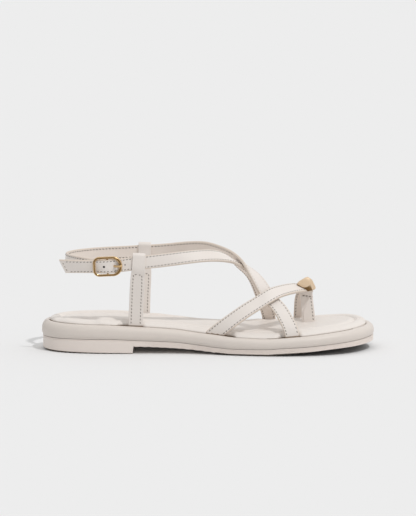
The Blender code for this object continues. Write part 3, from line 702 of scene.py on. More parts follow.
TOE_STRAP = np.array([
    (2.4, -28.0, 12.9, -0.26, -0.96, 0.0, 11.2, BAND_THICK),
    (6.2, -29.1, 16.2, -0.26, -0.96, 0.05, 11.2, BAND_THICK),
    (10.6, -30.2, 19.9, -0.2, -0.95, 0.2, 11.2, BAND_THICK),
    (17.2, -30.6, 25.0, -0.05, -0.87, 0.47, 11.2, BAND_THICK),
    (30.0, -27.6, 33.6, 0.05, -0.79, 0.6, 11.2, BAND_THICK),
    (39.6, -23.4, 38.9, 0.1, -0.73, 0.68, 11.2, BAND_THICK),
    (47.6, -19.3, 43.2, 0.15, -0.70, 0.70, 11.2, BAND_THICK),
    (56.3, -10.6, 45.5, 0.16, -0.6, 0.79, 11.2, BAND_THICK),
    (66.0, -0.5, 46.2, 0.22, -0.48, 0.85, 11.0, BAND_THICK),
    (72.3, 8.0, 45.2, 0.32, -0.25, 0.91, 10.8, BAND_THICK),
    (75.5, 16.5, 43.2, 0.34, 0.1, 0.93, 10.6, BAND_THICK),
    (74.4, 25.5, 39.6, 0.25, 0.52, 0.82, 10.6, BAND_THICK),
    (72.1, 33.0, 32.4, 0.1, 0.87, 0.48, 10.6, BAND_THICK),
    (71.6, 36.2, 23.6, 0.0, 0.98, 0.18, 10.6, BAND_THICK),
    (71.2, 37.4, 16.0, 0.0, 1.0, 0.04, 10.6, BAND_THICK),
    (71.1, 37.4, 11.6, 0.0, 1.0, 0.0, 10.6, BAND_THICK),
])


def lengths_along(points):
    """Length of the line through the points, up to each of them."""
    hops = np.linalg.norm(np.diff(points, axis=0), axis=1)
    return np.concatenate([[0.0], np.cumsum(hops)])


def square_to(along, facing):
    """Facing with its share along the band taken out, at length one."""
    return unit(facing - np.sum(facing * along, axis=1, keepdims=True) * along)


def lay_band(rows, step):
    """Spline through a table of places, read at even steps of its length.

    Gives the length at each step and rows of middle, along, facing, across, half width, half thickness.
    """
    knots = lengths_along(rows[:, :3])
    at = np.linspace(0.0, knots[-1], max(4, round(knots[-1] / step) + 1))
    path = spline(knots, rows, at)
    along = unit(np.gradient(path[:, :3], at, axis=0))
    facing = square_to(along, path[:, 3:6])
    return at, np.column_stack([path[:, :3], along, facing, np.cross(facing, along), path[:, 6:8] / 2.0])


def strap_profile(edge, crown, lining_crown):
    """Closed cross-section: crowned outer face with a sunk sewing line, round edge, lining, round edge.

    Columns: share of the half width within the edges, added width, share of the half thickness within the
    edges, added height. Also gives which points lie on the lining, and the edge's radius.
    """
    line = STITCH_PLACE + STITCH_SPREAD * np.linspace(-SEWN_LINE_REACH, SEWN_LINE_REACH, SEWN_LINE_POINTS)
    right = np.concatenate([FACE_PLACES, line, [1.0]])
    place = np.concatenate([-right[:0:-1], right])
    sunk = STITCH_SINK * np.exp(-((np.abs(place) - STITCH_PLACE) / STITCH_SPREAD) ** 2)
    still, full = np.zeros(len(place)), np.ones(len(place))
    outer = np.column_stack([place, still, full, edge + crown * (1.0 - place ** 2) - sunk])
    lining = np.column_stack([place, still, full, edge + lining_crown * (1.0 - place ** 2) - sunk])
    lining = lining[::-1] * np.array([1.0, 1.0, -1.0, -1.0])
    turn = np.linspace(0.0, math.pi, 2 * EDGE_STEPS + 1)[1:-1]
    upper = np.where(np.cos(turn) >= 0.0, 1.0, -1.0)
    bend = np.column_stack([np.ones(len(turn)), edge * np.sin(turn), upper, edge * np.cos(turn)])
    other = bend[::-1] * np.array([-1.0, -1.0, 1.0, 1.0])
    profile = np.concatenate([outer, bend, lining, other])
    start = len(outer) + len(bend)
    on_lining = np.zeros(len(profile), dtype=bool)
    on_lining[start:start + len(lining)] = True
    return profile, on_lining, edge


def band_rings(at, lay, section, slants=(0.0, 0.0), raised=0.0):
    """Section carried along a band; near its ends points slide along it by slant times their place across.

    Raised is added along the facing, one value for every station and point.
    """
    profile, _, edge = section
    middle, along, facing, across = (lay[:, k:k + 3] for k in (0, 3, 6, 9))
    out = profile[:, 0] * (lay[:, 12:13] - edge) + profile[:, 1]
    up = profile[:, 2] * (lay[:, 13:14] - edge) + profile[:, 3] + raised
    near_start = np.clip(1.0 - at / SLANT_REACH, 0.0, 1.0)
    near_end = np.clip(1.0 - (at[-1] - at) / SLANT_REACH, 0.0, 1.0)
    slide = out * (slants[0] * near_start + slants[1] * near_end)[:, None]
    parts = [(out, across), (up, facing), (slide, along)]
    return middle[:, None, :] + sum(size[:, :, None] * way[:, None, :] for size, way in parts)


def lining_ripples(at, section):
    """Soft slanting wrinkles in the lining above the end of a strap: a sine along it, faded in and out."""
    profile, on_lining, _ = section
    left = (at[-1] - at)[:, None]
    window = smooth_step(*RIPPLE_STARTS, left) * (1.0 - smooth_step(*RIPPLE_FADES, left))
    wave = np.sin(2.0 * math.pi * left / RIPPLE_PITCH + RIPPLE_LEAN * profile[:, 0])
    return RIPPLE * window * wave * on_lining * (1.0 - profile[:, 0] ** 2)


def capped_faces(rows, count):
    """Faces between neighbouring rings, and a flat face over the first ring and over the last."""
    ends = [list(range(count)), list(range((rows - 1) * count, rows * count))]
    return ring_faces(rows, count).tolist() + ends


def band_piece(name, rings, section, finishes):
    """Closed band with flat ends: first finish outside, second on the lining, third on edges and ends.

    Faces down in the gap beside the footbed take the fourth, a painted shade.
    """
    rows, count = rings.shape[:2]
    piece = make_piece(name, rings.reshape(-1, 3), capped_faces(rows, count), finishes)
    on_lining = section[1]
    on_edge = section[0][:, 1] != 0.0
    kinds = np.where(on_edge | np.roll(on_edge, -1), 2, np.where(on_lining, 1, 0))
    slots = np.concatenate([np.tile(kinds, rows - 1), [2, 2]]).astype(np.int32)
    piece.data.polygons.foreach_set("material_index", slots)
    paint_gap_shade(piece, 3, STRAP_GAP)
    return piece


def punch_holes(piece, lay, finish):
    """Blind round holes in the outer face of the tail strap, cut by short cylinders along its facing; their
    walls are painted near black as shade.
    """
    bm = bmesh.new()
    for x, radius in HOLES:
        spot = lay[np.argmin(np.abs(lay[:, 0] - x))]
        middle = spot[0:3] + spot[6:9] * spot[13]
        turn = Vector(spot[6:9]).to_track_quat("Z", "Y").to_matrix().to_4x4()
        bmesh.ops.create_cone(
            bm, cap_ends=True, segments=HOLE_SIDES, radius1=radius * MM, radius2=radius * MM,
            depth=2.0 * HOLE_DEPTH * MM, matrix=Matrix.Translation(Vector(middle * MM)) @ turn,
        )
    mesh = bpy.data.meshes.new("punches")
    bm.to_mesh(mesh)
    bm.free()
    mesh.materials.append(finish)
    punches = bpy.data.objects.new("punches", mesh)
    bpy.context.scene.collection.objects.link(punches)
    cut = piece.modifiers.new("holes", "BOOLEAN")
    cut.operation = "DIFFERENCE"
    cut.solver = "EXACT"
    cut.material_mode = "TRANSFER"
    cut.object = punches
    bpy.context.view_layer.update()
    punched = bpy.data.meshes.new_from_object(piece.evaluated_get(bpy.context.evaluated_depsgraph_get()))
    piece.modifiers.clear()
    piece.data = punched
    bpy.data.objects.remove(punches)


def plain_finish(name, colour, rough):
    """Finish of one colour and roughness."""
    material, _, _, shader = new_finish(name)
    shader.inputs["Base Color"].default_value = (*colour, 1.0)
    shader.inputs["Roughness"].default_value = rough
    return material


strap_leather = grained_finish(
    "strap_leather", STRAP_LIGHT, STRAP_DARK,
    mottle=34.0, cells=2000.0, depth=0.04, rough=0.46, gloss=0.36,
)
strap_lining = grained_finish(
    "strap_lining", LINING_LIGHT, LINING_DARK,
    mottle=40.0, cells=3400.0, depth=0.03, rough=0.7, gloss=0.25,
)
strap_edge_dye_and_shade = grained_finish(
    "strap_edge_dye_and_shade", EDGE_DYE_AND_SHADE_LIGHT, EDGE_DYE_AND_SHADE_DARK,
    mottle=60.0, cells=3000.0, depth=0.02, rough=0.6, gloss=0.3,
)
strap_section = strap_profile(STRAP_EDGE, CROWN, LINING_CROWN)
strap_lays = {}
for name, rows, slants in (
    ("tail_strap", TAIL_STRAP, (TAIL_SLANT, 0.0)),
    ("buckle_strap", BUCKLE_STRAP, (0.0, 0.0)),
    ("toe_strap", TOE_STRAP, (TOE_STRAP_FOOT_SLANT, 0.0)),
):
    at, lay = lay_band(rows, STRAP_STEP)
    for eased, x, reach, shift in EASED:
        if eased == name:
            lay[:, 0:3] += shift * np.exp(-((lay[:, 0:1] - x) / reach) ** 2) * lay[:, 6:9]
    strap_lays[name] = at, lay
    raised = lining_ripples(at, strap_section) if name == "tail_strap" else 0.0
    rings = band_rings(at, lay, strap_section, slants, raised)
    strap = band_piece(name, rings, strap_section, [strap_leather, strap_lining, strap_edge_dye_and_shade, gap_painted_shade])
    if name == "tail_strap":
        punch_holes(strap, lay, plain_finish("hole_painted_shade", HOLE_SHADE_COLOUR, rough=0.9))
    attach(strap, "root")
    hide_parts("upper")

# Keepers
# Two upright strips rise from the groove beside the footbed, fold over the ankle strap and come back down
# inside, sewn to themselves in a long box below the fold.
LAYER_THICK = 1.3
KEEPER_STEP = 0.7
FOLD_STEPS = 12
KEEPER_EDGE = 0.5
KEEPER_CROWN = 0.1
# Columns: x, y, z, facing x, facing y, facing z, width, thickness of both layers with what lies between
OUTER_KEEPER = np.array([
    (-55.2, -23.8, 17.1, 0.0, -1.0, 0.0, 10.8, 2.6),
    (-54.9, -24.4, 26.0, 0.0, -1.0, 0.05, 10.9, 2.6),
    (-54.2, -26.2, 42.0, 0.0, -1.0, 0.1, 10.9, 2.6),
    (-53.5, -28.3, 57.0, 0.0, -1.0, 0.12, 10.7, 2.8),
    (-53.2, -28.8, 61.0, 0.0, -1.0, 0.12, 10.3, 3.4),
    (-52.7, -29.1, 64.3, 0.0, -1.0, 0.12, 10.1, 5.0),
    (-52.5, -29.1, 69.4, 0.0, -1.0, 0.12, 9.9, 5.2),
    (-52.3, -28.6, 74.5, 0.0, -1.0, 0.12, 9.7, 4.9),
])
INNER_KEEPER = np.array([
    (-50.0, 22.75, 16.9, 0.1, 1.0, 0.0, 10.4, 2.6),
    (-49.7, 23.7, 26.0, 0.08, 1.0, 0.05, 10.4, 2.6),
    (-49.2, 26.0, 42.0, 0.0, 1.0, 0.08, 10.3, 2.6),
    (-48.8, 27.5, 57.0, 0.0, 1.0, 0.12, 10.2, 2.8),
    (-49.0, 27.8, 61.8, 0.0, 1.0, 0.12, 10.1, 3.4),
    (-48.8, 28.0, 65.5, 0.0, 1.0, 0.12, 10.0, 5.2),
    (-48.7, 28.0, 70.7, 0.0, 1.0, 0.12, 9.8, 5.4),
    (-48.6, 27.5, 75.5, 0.0, 1.0, 0.12, 9.7, 5.1),
])


def fold_keeper(rows):
    """Path of one layer: up the outside, a half circle over the top, and down the inside.

    The two legs lie off the strip's middle by half its thickness less half a layer.
    """
    at, lay = lay_band(rows, KEEPER_STEP)
    reach = lay[:, 13:14] - LAYER_THICK / 2.0
    legs = lay[:, 0:3] + reach * lay[:, 6:9], lay[:, 0:3] - reach * lay[:, 6:9]
    turn = np.linspace(0.0, math.pi, FOLD_STEPS + 2)[1:-1, None]
    way = np.cos(turn) * lay[-1, 6:9] + np.sin(turn) * lay[-1, 3:6]
    middle = np.concatenate([legs[0], lay[-1, 0:3] + reach[-1] * way, legs[1][::-1]])
    facing = np.concatenate([lay[:, 6:9], way, -lay[::-1, 6:9]])
    half_width = np.concatenate([lay[:, 12], np.full(FOLD_STEPS, lay[-1, 12]), lay[::-1, 12]])
    length = lengths_along(middle)
    along = unit(np.gradient(middle, length, axis=0))
    facing = square_to(along, facing)
    half_thick = np.full(len(length), LAYER_THICK / 2.0)
    return length, np.column_stack([middle, along, facing, np.cross(facing, along), half_width, half_thick])


keeper_section = strap_profile(KEEPER_EDGE, KEEPER_CROWN, 0.0)
keeper_lays = {}
for name, rows in (("keeper_lateral", OUTER_KEEPER), ("keeper_medial", INNER_KEEPER)):
    at, lay = fold_keeper(rows)
    keeper_lays[name] = at, lay
    rings = band_rings(at, lay, keeper_section)
    finishes = [strap_leather, strap_lining, strap_leather, gap_painted_shade]
    keeper = band_piece(name + "_strip", rings, keeper_section, finishes)
    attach(keeper, "root")
    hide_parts(name)

# Toe post
# A doubled strip between the big toe and the second toe, let into the footbed. Its top is turned over a
# cross seam under the toe strap, and a slanting fold runs down its face.
POST_STEP = 0.4
POST_CROWN = 0.12
POST_SLANT = 0.36
POST_SEAM_Z = 39.6
POST_SEAM_HEIGHT = 0.4
POST_SEAM_RISE = 1.0
POST_SEAM_SLOPE = 0.2
POST_FOLD = 0.7
POST_FOLD_SOFT = 0.5
POST_FOLD_Z = (26.0, POST_SEAM_Z - 1.0)
POST_FOLD_PLACE = (4.6, -2.4)
POST_FOLD_TOP = (-1.6, -0.6)
# Columns: x, y, z, facing x, facing y, facing z, width, thickness
TOE_POST = np.array([
    (77.4, 13.8, 15.8, 0.05, -1.0, 0.03, 10.4, 2.4),
    (77.0, 13.8, 22.0, 0.05, -1.0, 0.03, 10.2, 2.4),
    (76.1, 14.0, 32.0, 0.05, -1.0, 0.03, 9.7, 2.4),
    (75.3, 14.3, 43.0, 0.05, -1.0, 0.03, 9.3, 2.4),
])


def post_relief(lay, section):
    """Height added to the post: a turned cap over the cross seam, and the back of a slanting fold sunk in.

    The fold lies below the seam and runs from near the front edge down to the back edge.
    """
    z = lay[:, 2:3]
    out = section[0][:, 0] * lay[:, 12:13]
    front = section[0][:, 3] > 0.0
    over_seam = z - POST_SEAM_Z - POST_SEAM_SLOPE * out
    swell = POST_SEAM_RISE * smooth_step(-POST_SEAM_HEIGHT, POST_SEAM_HEIGHT, over_seam)
    fold_place = np.interp(z, POST_FOLD_Z, POST_FOLD_PLACE)
    behind = smooth_step(-POST_FOLD_SOFT, POST_FOLD_SOFT, out - fold_place)
    below = 1.0 - smooth_step(*POST_FOLD_TOP, over_seam)
    return np.where(front, swell - POST_FOLD * behind * below, -swell)


post_section = strap_profile(STRAP_EDGE, POST_CROWN, POST_CROWN)
post_at, post_lay = lay_band(TOE_POST, POST_STEP)
post_raised = post_relief(post_lay, post_section)
post_rings = band_rings(post_at, post_lay, post_section, (0.0, POST_SLANT), post_raised)
post = band_piece("toe_post_strip", post_rings, post_section, [strap_leather] * 3 + [gap_painted_shade])
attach(post, "root")
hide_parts("toe_post")

# Stitching
# Waxed thread in a plain lockstitch: one row down each edge of the straps on both faces, across the tail's
# slanted end, in a box on the keepers, and down the toe post and across it. The thread is paler on the upper
# run of the buckle strap.
STITCH_PITCH = 2.55
STITCH_LENGTH = 1.55
STITCH_WIDTH = 0.75
STITCH_HEIGHT = 0.6
STITCH_BED = 0.02
CROSS_STITCH_RISE = 0.05
STITCH_INSET = 1.4
KEEPER_INSET = 2.0
POST_INSET = 1.7
STITCH_TILT = math.radians(11.0)
STITCH_RINGS = np.array([(-1.0, 0.3), (-0.7, 0.9), (0.0, 1.0), (0.7, 0.9), (1.0, 0.3)])
STITCH_SIDES = 6
# Where rows start and stop, in lengths along a band, and how far they lie from its middle
ROW_END = 5.0
TAIL_ROW_START = 4.0
TAIL_ROW_OUT = 3.6
BUCKLE_ROW_START = 6.0
TOE_ROW_OUT = 3.8
POST_ROW = (3.0, 21.5)
# Rows across a band. Columns: length along it, reach either side of its middle
TAIL_CROSS_ROW = (2.0, 3.9)
POST_CROSS_ROW = (22.4, 3.6)
BOX_REACH = 3.0
BOX_TOPS = {"keeper_lateral": 44.3, "keeper_medial": 37.0}
PALE_STRETCH = (21.0, 49.0)
THREAD_LIGHT = (0.27, 0.235, 0.20)
THREAD_DARK = (0.21, 0.18, 0.15)
PALE_THREAD_LIGHT = (0.72, 0.665, 0.62)
PALE_THREAD_DARK = (0.66, 0.605, 0.56)


def read_lay(at, lay, places):
    """Every column of a band's lay, read at places along its length."""
    return np.column_stack([np.interp(places, at, column) for column in lay.T])


def stitch_shape():
    """One stitch as rings round its length: columns along, across and up, with its faces."""
    turn = np.linspace(0.0, 2.0 * math.pi, STITCH_SIDES, endpoint=False)
    size = STITCH_RINGS[:, 1:2]
    along = np.repeat(STITCH_RINGS[:, 0:1] * STITCH_LENGTH / 2.0, STITCH_SIDES, axis=1)
    across = size * np.cos(turn) * STITCH_WIDTH / 2.0
    up = size * np.sin(turn) * STITCH_HEIGHT / 2.0
    shape = np.stack([along, across, up], axis=-1)
    return shape.reshape(-1, 3), capped_faces(len(STITCH_RINGS), STITCH_SIDES)


def place_stitches(places, along, across, up):
    """Points of a stitch at every place, turned a little so that the thread looks twisted."""
    shape = stitch_shape()[0]
    lean = shape[:, 0] * math.cos(STITCH_TILT) - shape[:, 1] * math.sin(STITCH_TILT)
    side = shape[:, 0] * math.sin(STITCH_TILT) + shape[:, 1] * math.cos(STITCH_TILT)
    parts = [(lean, along), (side, across), (shape[:, 2], up)]
    return places[:, None, :] + sum(size[None, :, None] * way[:, None, :] for size, way in parts)


def edge_row(band, start, stop, side, face, inset=STITCH_INSET):
    """Stitches along one edge of a band between two lengths, on its outer (1) or inner (-1) face."""
    at, lay = band
    count = max(2, round((stop - start) / STITCH_PITCH))
    spots = read_lay(at, lay, start + (np.arange(count) + 0.5) * (stop - start) / count)
    out = side * (spots[:, 12] - inset)
    up = face * (spots[:, 13] - STITCH_BED)
    places = spots[:, 0:3] + out[:, None] * spots[:, 9:12] + up[:, None] * spots[:, 6:9]
    return place_stitches(places, spots[:, 3:6], spots[:, 9:12], face * spots[:, 6:9])


def cross_row(band, place, reach, face, slant=0.0):
    """Stitches across a band at one length, within reach of its middle, leaning along it by slant."""
    at, lay = band
    count = max(2, round(2.0 * reach / STITCH_PITCH))
    out = (np.arange(count) + 0.5) * 2.0 * reach / count - reach
    spots = read_lay(at, lay, place + slant * out)
    up = face * (spots[:, 13] + CROSS_STITCH_RISE)
    places = spots[:, 0:3] + out[:, None] * spots[:, 9:12] + up[:, None] * spots[:, 6:9]
    way = unit(spots[:, 9:12] + slant * spots[:, 3:6])
    return place_stitches(places, way, unit(np.cross(spots[:, 6:9], way)), face * spots[:, 6:9])


tail_band = strap_lays["tail_strap"]
buckle_band = strap_lays["buckle_strap"]
toe_band = strap_lays["toe_strap"]
post_band = post_at, post_lay
tail_stop, buckle_stop, toe_stop = (band[0][-1] - ROW_END for band in (tail_band, buckle_band, toe_band))
pale_start, pale_end = (buckle_band[0][buckle_band[1][:, 0] < x][-1] for x in PALE_STRETCH)
dark_rows, pale_rows = [], []
for face in (1, -1):
    for side in (1, -1):
        tail_start = TAIL_ROW_START + TAIL_SLANT * side * TAIL_ROW_OUT
        toe_start = ROW_END + TOE_STRAP_FOOT_SLANT * side * TOE_ROW_OUT
        dark_rows.append(edge_row(tail_band, tail_start, tail_stop, side, face))
        dark_rows.append(edge_row(buckle_band, BUCKLE_ROW_START, pale_start, side, face))
        dark_rows.append(edge_row(buckle_band, pale_end, buckle_stop, side, face))
        pale_rows.append(edge_row(buckle_band, pale_start, pale_end, side, face))
        dark_rows.append(edge_row(toe_band, toe_start, toe_stop, side, face))
    dark_rows.append(cross_row(tail_band, *TAIL_CROSS_ROW, face, TAIL_SLANT))
for name, box_top in BOX_TOPS.items():
    band = keeper_lays[name]
    whole = band[0][-1]
    for side in (1, -1):
        dark_rows.append(edge_row(band, ROW_END, box_top, side, 1, KEEPER_INSET))
        dark_rows.append(edge_row(band, whole - box_top, whole - ROW_END, side, 1, KEEPER_INSET))
    for place in (box_top, whole - box_top):
        dark_rows.append(cross_row(band, place, BOX_REACH, 1))
for face in (1, -1):
    dark_rows.append(edge_row(post_band, *POST_ROW, -1, face, POST_INSET))
dark_rows.append(cross_row(post_band, *POST_CROSS_ROW, 1, POST_SEAM_SLOPE))
dark_count = sum(len(row) for row in dark_rows)
stitches = np.concatenate(dark_rows + pale_rows)
stitch_count, stitch_points = stitches.shape[:2]
stitch_starts = range(0, stitch_count * stitch_points, stitch_points)
one_faces = stitch_shape()[1]
thread_faces = [[start + corner for corner in face] for start in stitch_starts for face in one_faces]
threads = [
    grained_finish(name, light, dark, mottle=400.0, cells=6000.0, depth=0.04, rough=0.6, gloss=0.4)
    for name, light, dark in (
        ("thread", THREAD_LIGHT, THREAD_DARK),
        ("pale_thread", PALE_THREAD_LIGHT, PALE_THREAD_DARK),
    )
]
stitching = make_piece("stitching", stitches.reshape(-1, 3), thread_faces, threads, sharp=80.0)
pale_faces = np.arange(len(stitching.data.polygons)) >= dark_count * len(one_faces)
stitching.data.polygons.foreach_set("material_index", pale_faces.astype(np.int32))
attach(stitching, "root")

# Buckle
# A cast frame with rounded corners and a centre bar behind the strap, and a wire prong that rings the bar
# and lies over the front of the frame. All are polished gold colour. A dark reflection is painted in a line
# round the face of the frame and on the back of the prong, and the bar is painted half way to that dark.
BUCKLE_CENTRE = np.array((-76.2, -32.25, 67.3))
BUCKLE_TURN = math.radians(-2.5)
FRAME_LENGTH = 21.9
FRAME_HEIGHT = 15.2
FRAME_CORNERS = (4.8, 7.2)
FRAME_WIRE = 0.95
FRAME_FRONT_SWELL = 0.3
FRAME_SWELL_X = (3.0, 9.0)
CORNER_POINTS = 14
BAR_DEPTH = 3.65
BAR_WIRE = 0.75
BAR_BEND = 0.9
BAR_BRIGHT_SHARE = 0.5
PRONG_WIRE = 0.85
PRONG_STEPS = 90
RING_POINTS = 24
WIRE_SIDES = 20
RING_START = math.radians(-60.0)
RING_END = math.radians(-330.0)
GOLD_MOTTLE = 160.0
GOLD_DULLER = 0.06
GOLD_SHINIER = 0.04
GOLD = (0.78, 0.56, 0.31)
GOLD_WORN = (0.68, 0.46, 0.23)
# Painted dark reflection, mixed into the gold where marked
GOLD_PAINTED_REFLECTION = (0.17, 0.09, 0.03)
FRONT_REFLECTION_LINE = (0.82, 0.99)
PRONG_BACK_REFLECTION = (-0.2, 0.5)
# Columns: x, y of the prong's middle line after its ring
PRONG_ARM = np.array([
    (3.1, 3.3),
    (4.2, 2.3),
    (4.9, 1.0),
    (5.5, -0.4),
    (6.5, -1.55),
    (8.2, -1.95),
    (11.2, -1.95),
])
# Columns: share of the prong's length, share of its wire
PRONG_TAPER = np.array([
    (0.0, 0.75),
    (0.6, 1.0),
    (0.93, 1.0),
    (0.97, 0.85),
    (1.0, 0.4),
])


def seat_buckle(points):
    """Points from the buckle's own frame turned about Y and moved to its place on the strap."""
    cos, sin = math.cos(BUCKLE_TURN), math.sin(BUCKLE_TURN)
    turn = np.array([(cos, 0.0, sin), (0.0, 1.0, 0.0), (-sin, 0.0, cos)])
    return points @ turn.T + BUCKLE_CENTRE


def tube(name, path, radius, level, closed, finishes):
    """Round wire: a circle carried along a path that lies flat on the plane with normal level."""
    if closed:
        along = unit(np.roll(path, -1, axis=0) - np.roll(path, 1, axis=0))
    else:
        along = unit(np.gradient(path, axis=0))
    level = np.broadcast_to(np.array(level, dtype=float), path.shape)
    side = unit(np.cross(along, level))
    turn = np.linspace(0.0, 2.0 * math.pi, WIRE_SIDES, endpoint=False)[None, :, None]
    radius = np.broadcast_to(radius, len(path))[:, None, None]
    rings = path[:, None, :] + radius * (np.cos(turn) * side[:, None, :] + np.sin(turn) * level[:, None, :])
    rows = len(path)
    if closed:
        rings = np.concatenate([rings, rings[:1]])
        faces = ring_faces(rows + 1, WIRE_SIDES).tolist()
    else:
        faces = capped_faces(rows, WIRE_SIDES)
    return make_piece(name, seat_buckle(rings.reshape(-1, 3)), faces, finishes)


def mark_painted_light(piece, values):
    """A value for every vertex, read by the gold finish: 0 where the metal is painted dark as shade and
    reflection, 1 where it keeps its bright colour.
    """
    layer = piece.data.attributes.new("gloss_and_painted_light", "FLOAT", "POINT")
    layer.data.foreach_set("value", np.asarray(values, dtype=np.float32))


def facing_front(piece):
    """How far each vertex of a piece faces the outer side of the foot, from -1 to 1."""
    return -rows_of(piece.data.vertices, "normal")[:, 1]


def gold_finish(name, bright, worn, dark, rough):
    """Gold-coloured metal: tone and polish drift a little with the mottle, and it is painted dark where
    marked, for shade and reflection.
    """
    material, nodes, link, shader = new_finish(name)
    shader.inputs["Metallic"].default_value = 1.0
    tone, colour = mottled_colour(nodes, link, GOLD_MOTTLE, worn, bright)
    painted_light_mask = nodes.new("ShaderNodeAttribute")
    painted_light_mask.attribute_name = "gloss_and_painted_light"
    shade = nodes.new("ShaderNodeMix")
    shade.data_type = "RGBA"
    shade.inputs["A"].default_value = (*dark, 1.0)
    gloss_and_painted_light = nodes.new("ShaderNodeMapRange")
    gloss_and_painted_light.inputs["To Min"].default_value = rough + GOLD_DULLER
    gloss_and_painted_light.inputs["To Max"].default_value = rough - GOLD_SHINIER
    link(tone, gloss_and_painted_light.inputs["Value"])
    link(painted_light_mask.outputs["Fac"], shade.inputs["Factor"])
    link(colour, shade.inputs["B"])
    link(shade.outputs["Result"], shader.inputs["Base Color"])
    link(gloss_and_painted_light.outputs["Result"], shader.inputs["Roughness"])
    return material


def frame_path():
    """Rounded rectangle of the frame's middle line, with wider corners in front than behind."""
    half = np.array((FRAME_LENGTH, FRAME_HEIGHT)) / 2.0
    corners = []
    for quarter, signs in enumerate(((1, 1), (-1, 1), (-1, -1), (1, -1))):
        outer = FRAME_CORNERS[1] if signs[0] > 0 else FRAME_CORNERS[0]
        angle = np.linspace(0.0, math.pi / 2.0, CORNER_POINTS) + quarter * math.pi / 2.0
        round_part = (outer - FRAME_WIRE) * np.column_stack([np.cos(angle), np.sin(angle)])
        place = np.array(signs) * (half - outer) + round_part
        corners.append(np.column_stack([place[:, 0], np.zeros(CORNER_POINTS), place[:, 1]]))
    return np.concatenate(corners)


def prong_path():
    """The prong's middle line: most of a circle round the bar, then a smooth arm out through the strap."""
    radius = BAR_WIRE + SEAM_GAP + PRONG_WIRE
    angle = np.linspace(RING_START, RING_END, RING_POINTS)
    ring = np.column_stack([radius * np.cos(angle), BAR_DEPTH + radius * np.sin(angle)])
    line = np.concatenate([ring, PRONG_ARM])
    knots = lengths_along(line)
    line = spline(knots, line, np.linspace(0.0, knots[-1], PRONG_STEPS))
    return np.column_stack([line, np.zeros(PRONG_STEPS)])


gold = gold_finish("buckle_gold", GOLD, GOLD_WORN, GOLD_PAINTED_REFLECTION, rough=0.2)
frame_line = frame_path()
frame_radius = FRAME_WIRE * (1.0 + FRAME_FRONT_SWELL * smooth_step(*FRAME_SWELL_X, frame_line[:, 0]))
frame_loop = tube("buckle_frame_wire", frame_line, frame_radius, (0.0, 1.0, 0.0), True, [gold])
# Painted reflection: a dark line where the frame faces straight out to the near side
mark_painted_light(frame_loop, 1.0 - smooth_step(*FRONT_REFLECTION_LINE, facing_front(frame_loop)))
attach(frame_loop, "root")
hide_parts("buckle_frame")
rail = FRAME_HEIGHT / 2.0 - FRAME_WIRE
bar_half = np.array([(0.0, 0.0, rail), (0.0, BAR_DEPTH - BAR_BEND, rail), (0.0, BAR_DEPTH, rail - BAR_BEND)])
bar_path = np.concatenate([bar_half, (bar_half * np.array([1.0, 1.0, -1.0]))[::-1]])
bar = tube("buckle_centre_bar", bar_path, BAR_WIRE, (1.0, 0.0, 0.0), False, [gold])
# The centre bar is painted half dark
mark_painted_light(bar, np.full(len(bar.data.vertices), BAR_BRIGHT_SHARE))
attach(bar, "root")
prong_taper = np.interp(np.linspace(0.0, 1.0, PRONG_STEPS), *PRONG_TAPER.T)
prong = tube("buckle_prong_wire", prong_path(), PRONG_WIRE * prong_taper, (0.0, 0.0, 1.0), False, [gold])
# The prong is painted dark where it faces away from the near side, as painted reflection
mark_painted_light(prong, smooth_step(*PRONG_BACK_REFLECTION, facing_front(prong)))
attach(prong, "root")
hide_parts("buckle_prong")

# Toe stud
# A cast four-sided pebble with soft ridges in satin gold colour, pinned on the toe strap over the post. Its
# near side is drawn in, and its flanks are painted dark low down at the middle as shade and dark reflection,
# with a painted glint there.
STUD_CENTRE = np.array((74.3, 8.4, 44.9))
STUD_LENGTH_AXIS = np.array((0.79, 0.54, -0.285))
STUD_FACING = np.array((0.47, -0.24, 0.85))
STUD_HALF_LENGTH = 9.2
STUD_HALF_DEPTH = 8.0
STUD_NEAR_SHARE = 0.72
STUD_RIDGE = 1.8
STUD_SIDES = 96
STUD_STEPS = 44
SATIN_GOLD = (0.85, 0.70, 0.525)
SATIN_GOLD_WORN = (0.80, 0.645, 0.47)
# Painted shade and dark reflection low on the stud's flanks
STUD_PAINTED_SHADE = (0.26, 0.16, 0.07)
SHADE_LINE = (1.7, 4.3)
SHADE_RISE = (0.35, 1.0)
SHADE_SOFT = 0.3
# A painted glint within the painted shade
GLINT_PLACE = 5.4
GLINT_REACH = 0.9
# Columns: share of the half diagonals, height, lean of the middle along the length
STUD_RINGS = np.array([
    (0.02, 0.0, 0.0),
    (0.66, 0.1, 0.0),
    (0.88, 0.7, 0.0),
    (0.985, 1.8, 0.0),
    (0.96, 2.9, -0.2),
    (0.80, 4.5, -0.6),
    (0.56, 6.8, -1.2),
    (0.36, 8.4, -1.6),
    (0.17, 9.2, -1.9),
    (0.01, 9.45, -2.0),
])
stud_up = unit(STUD_FACING)
stud_depth_way = unit(np.cross(stud_up, STUD_LENGTH_AXIS))
stud_length_way = np.cross(stud_depth_way, stud_up)


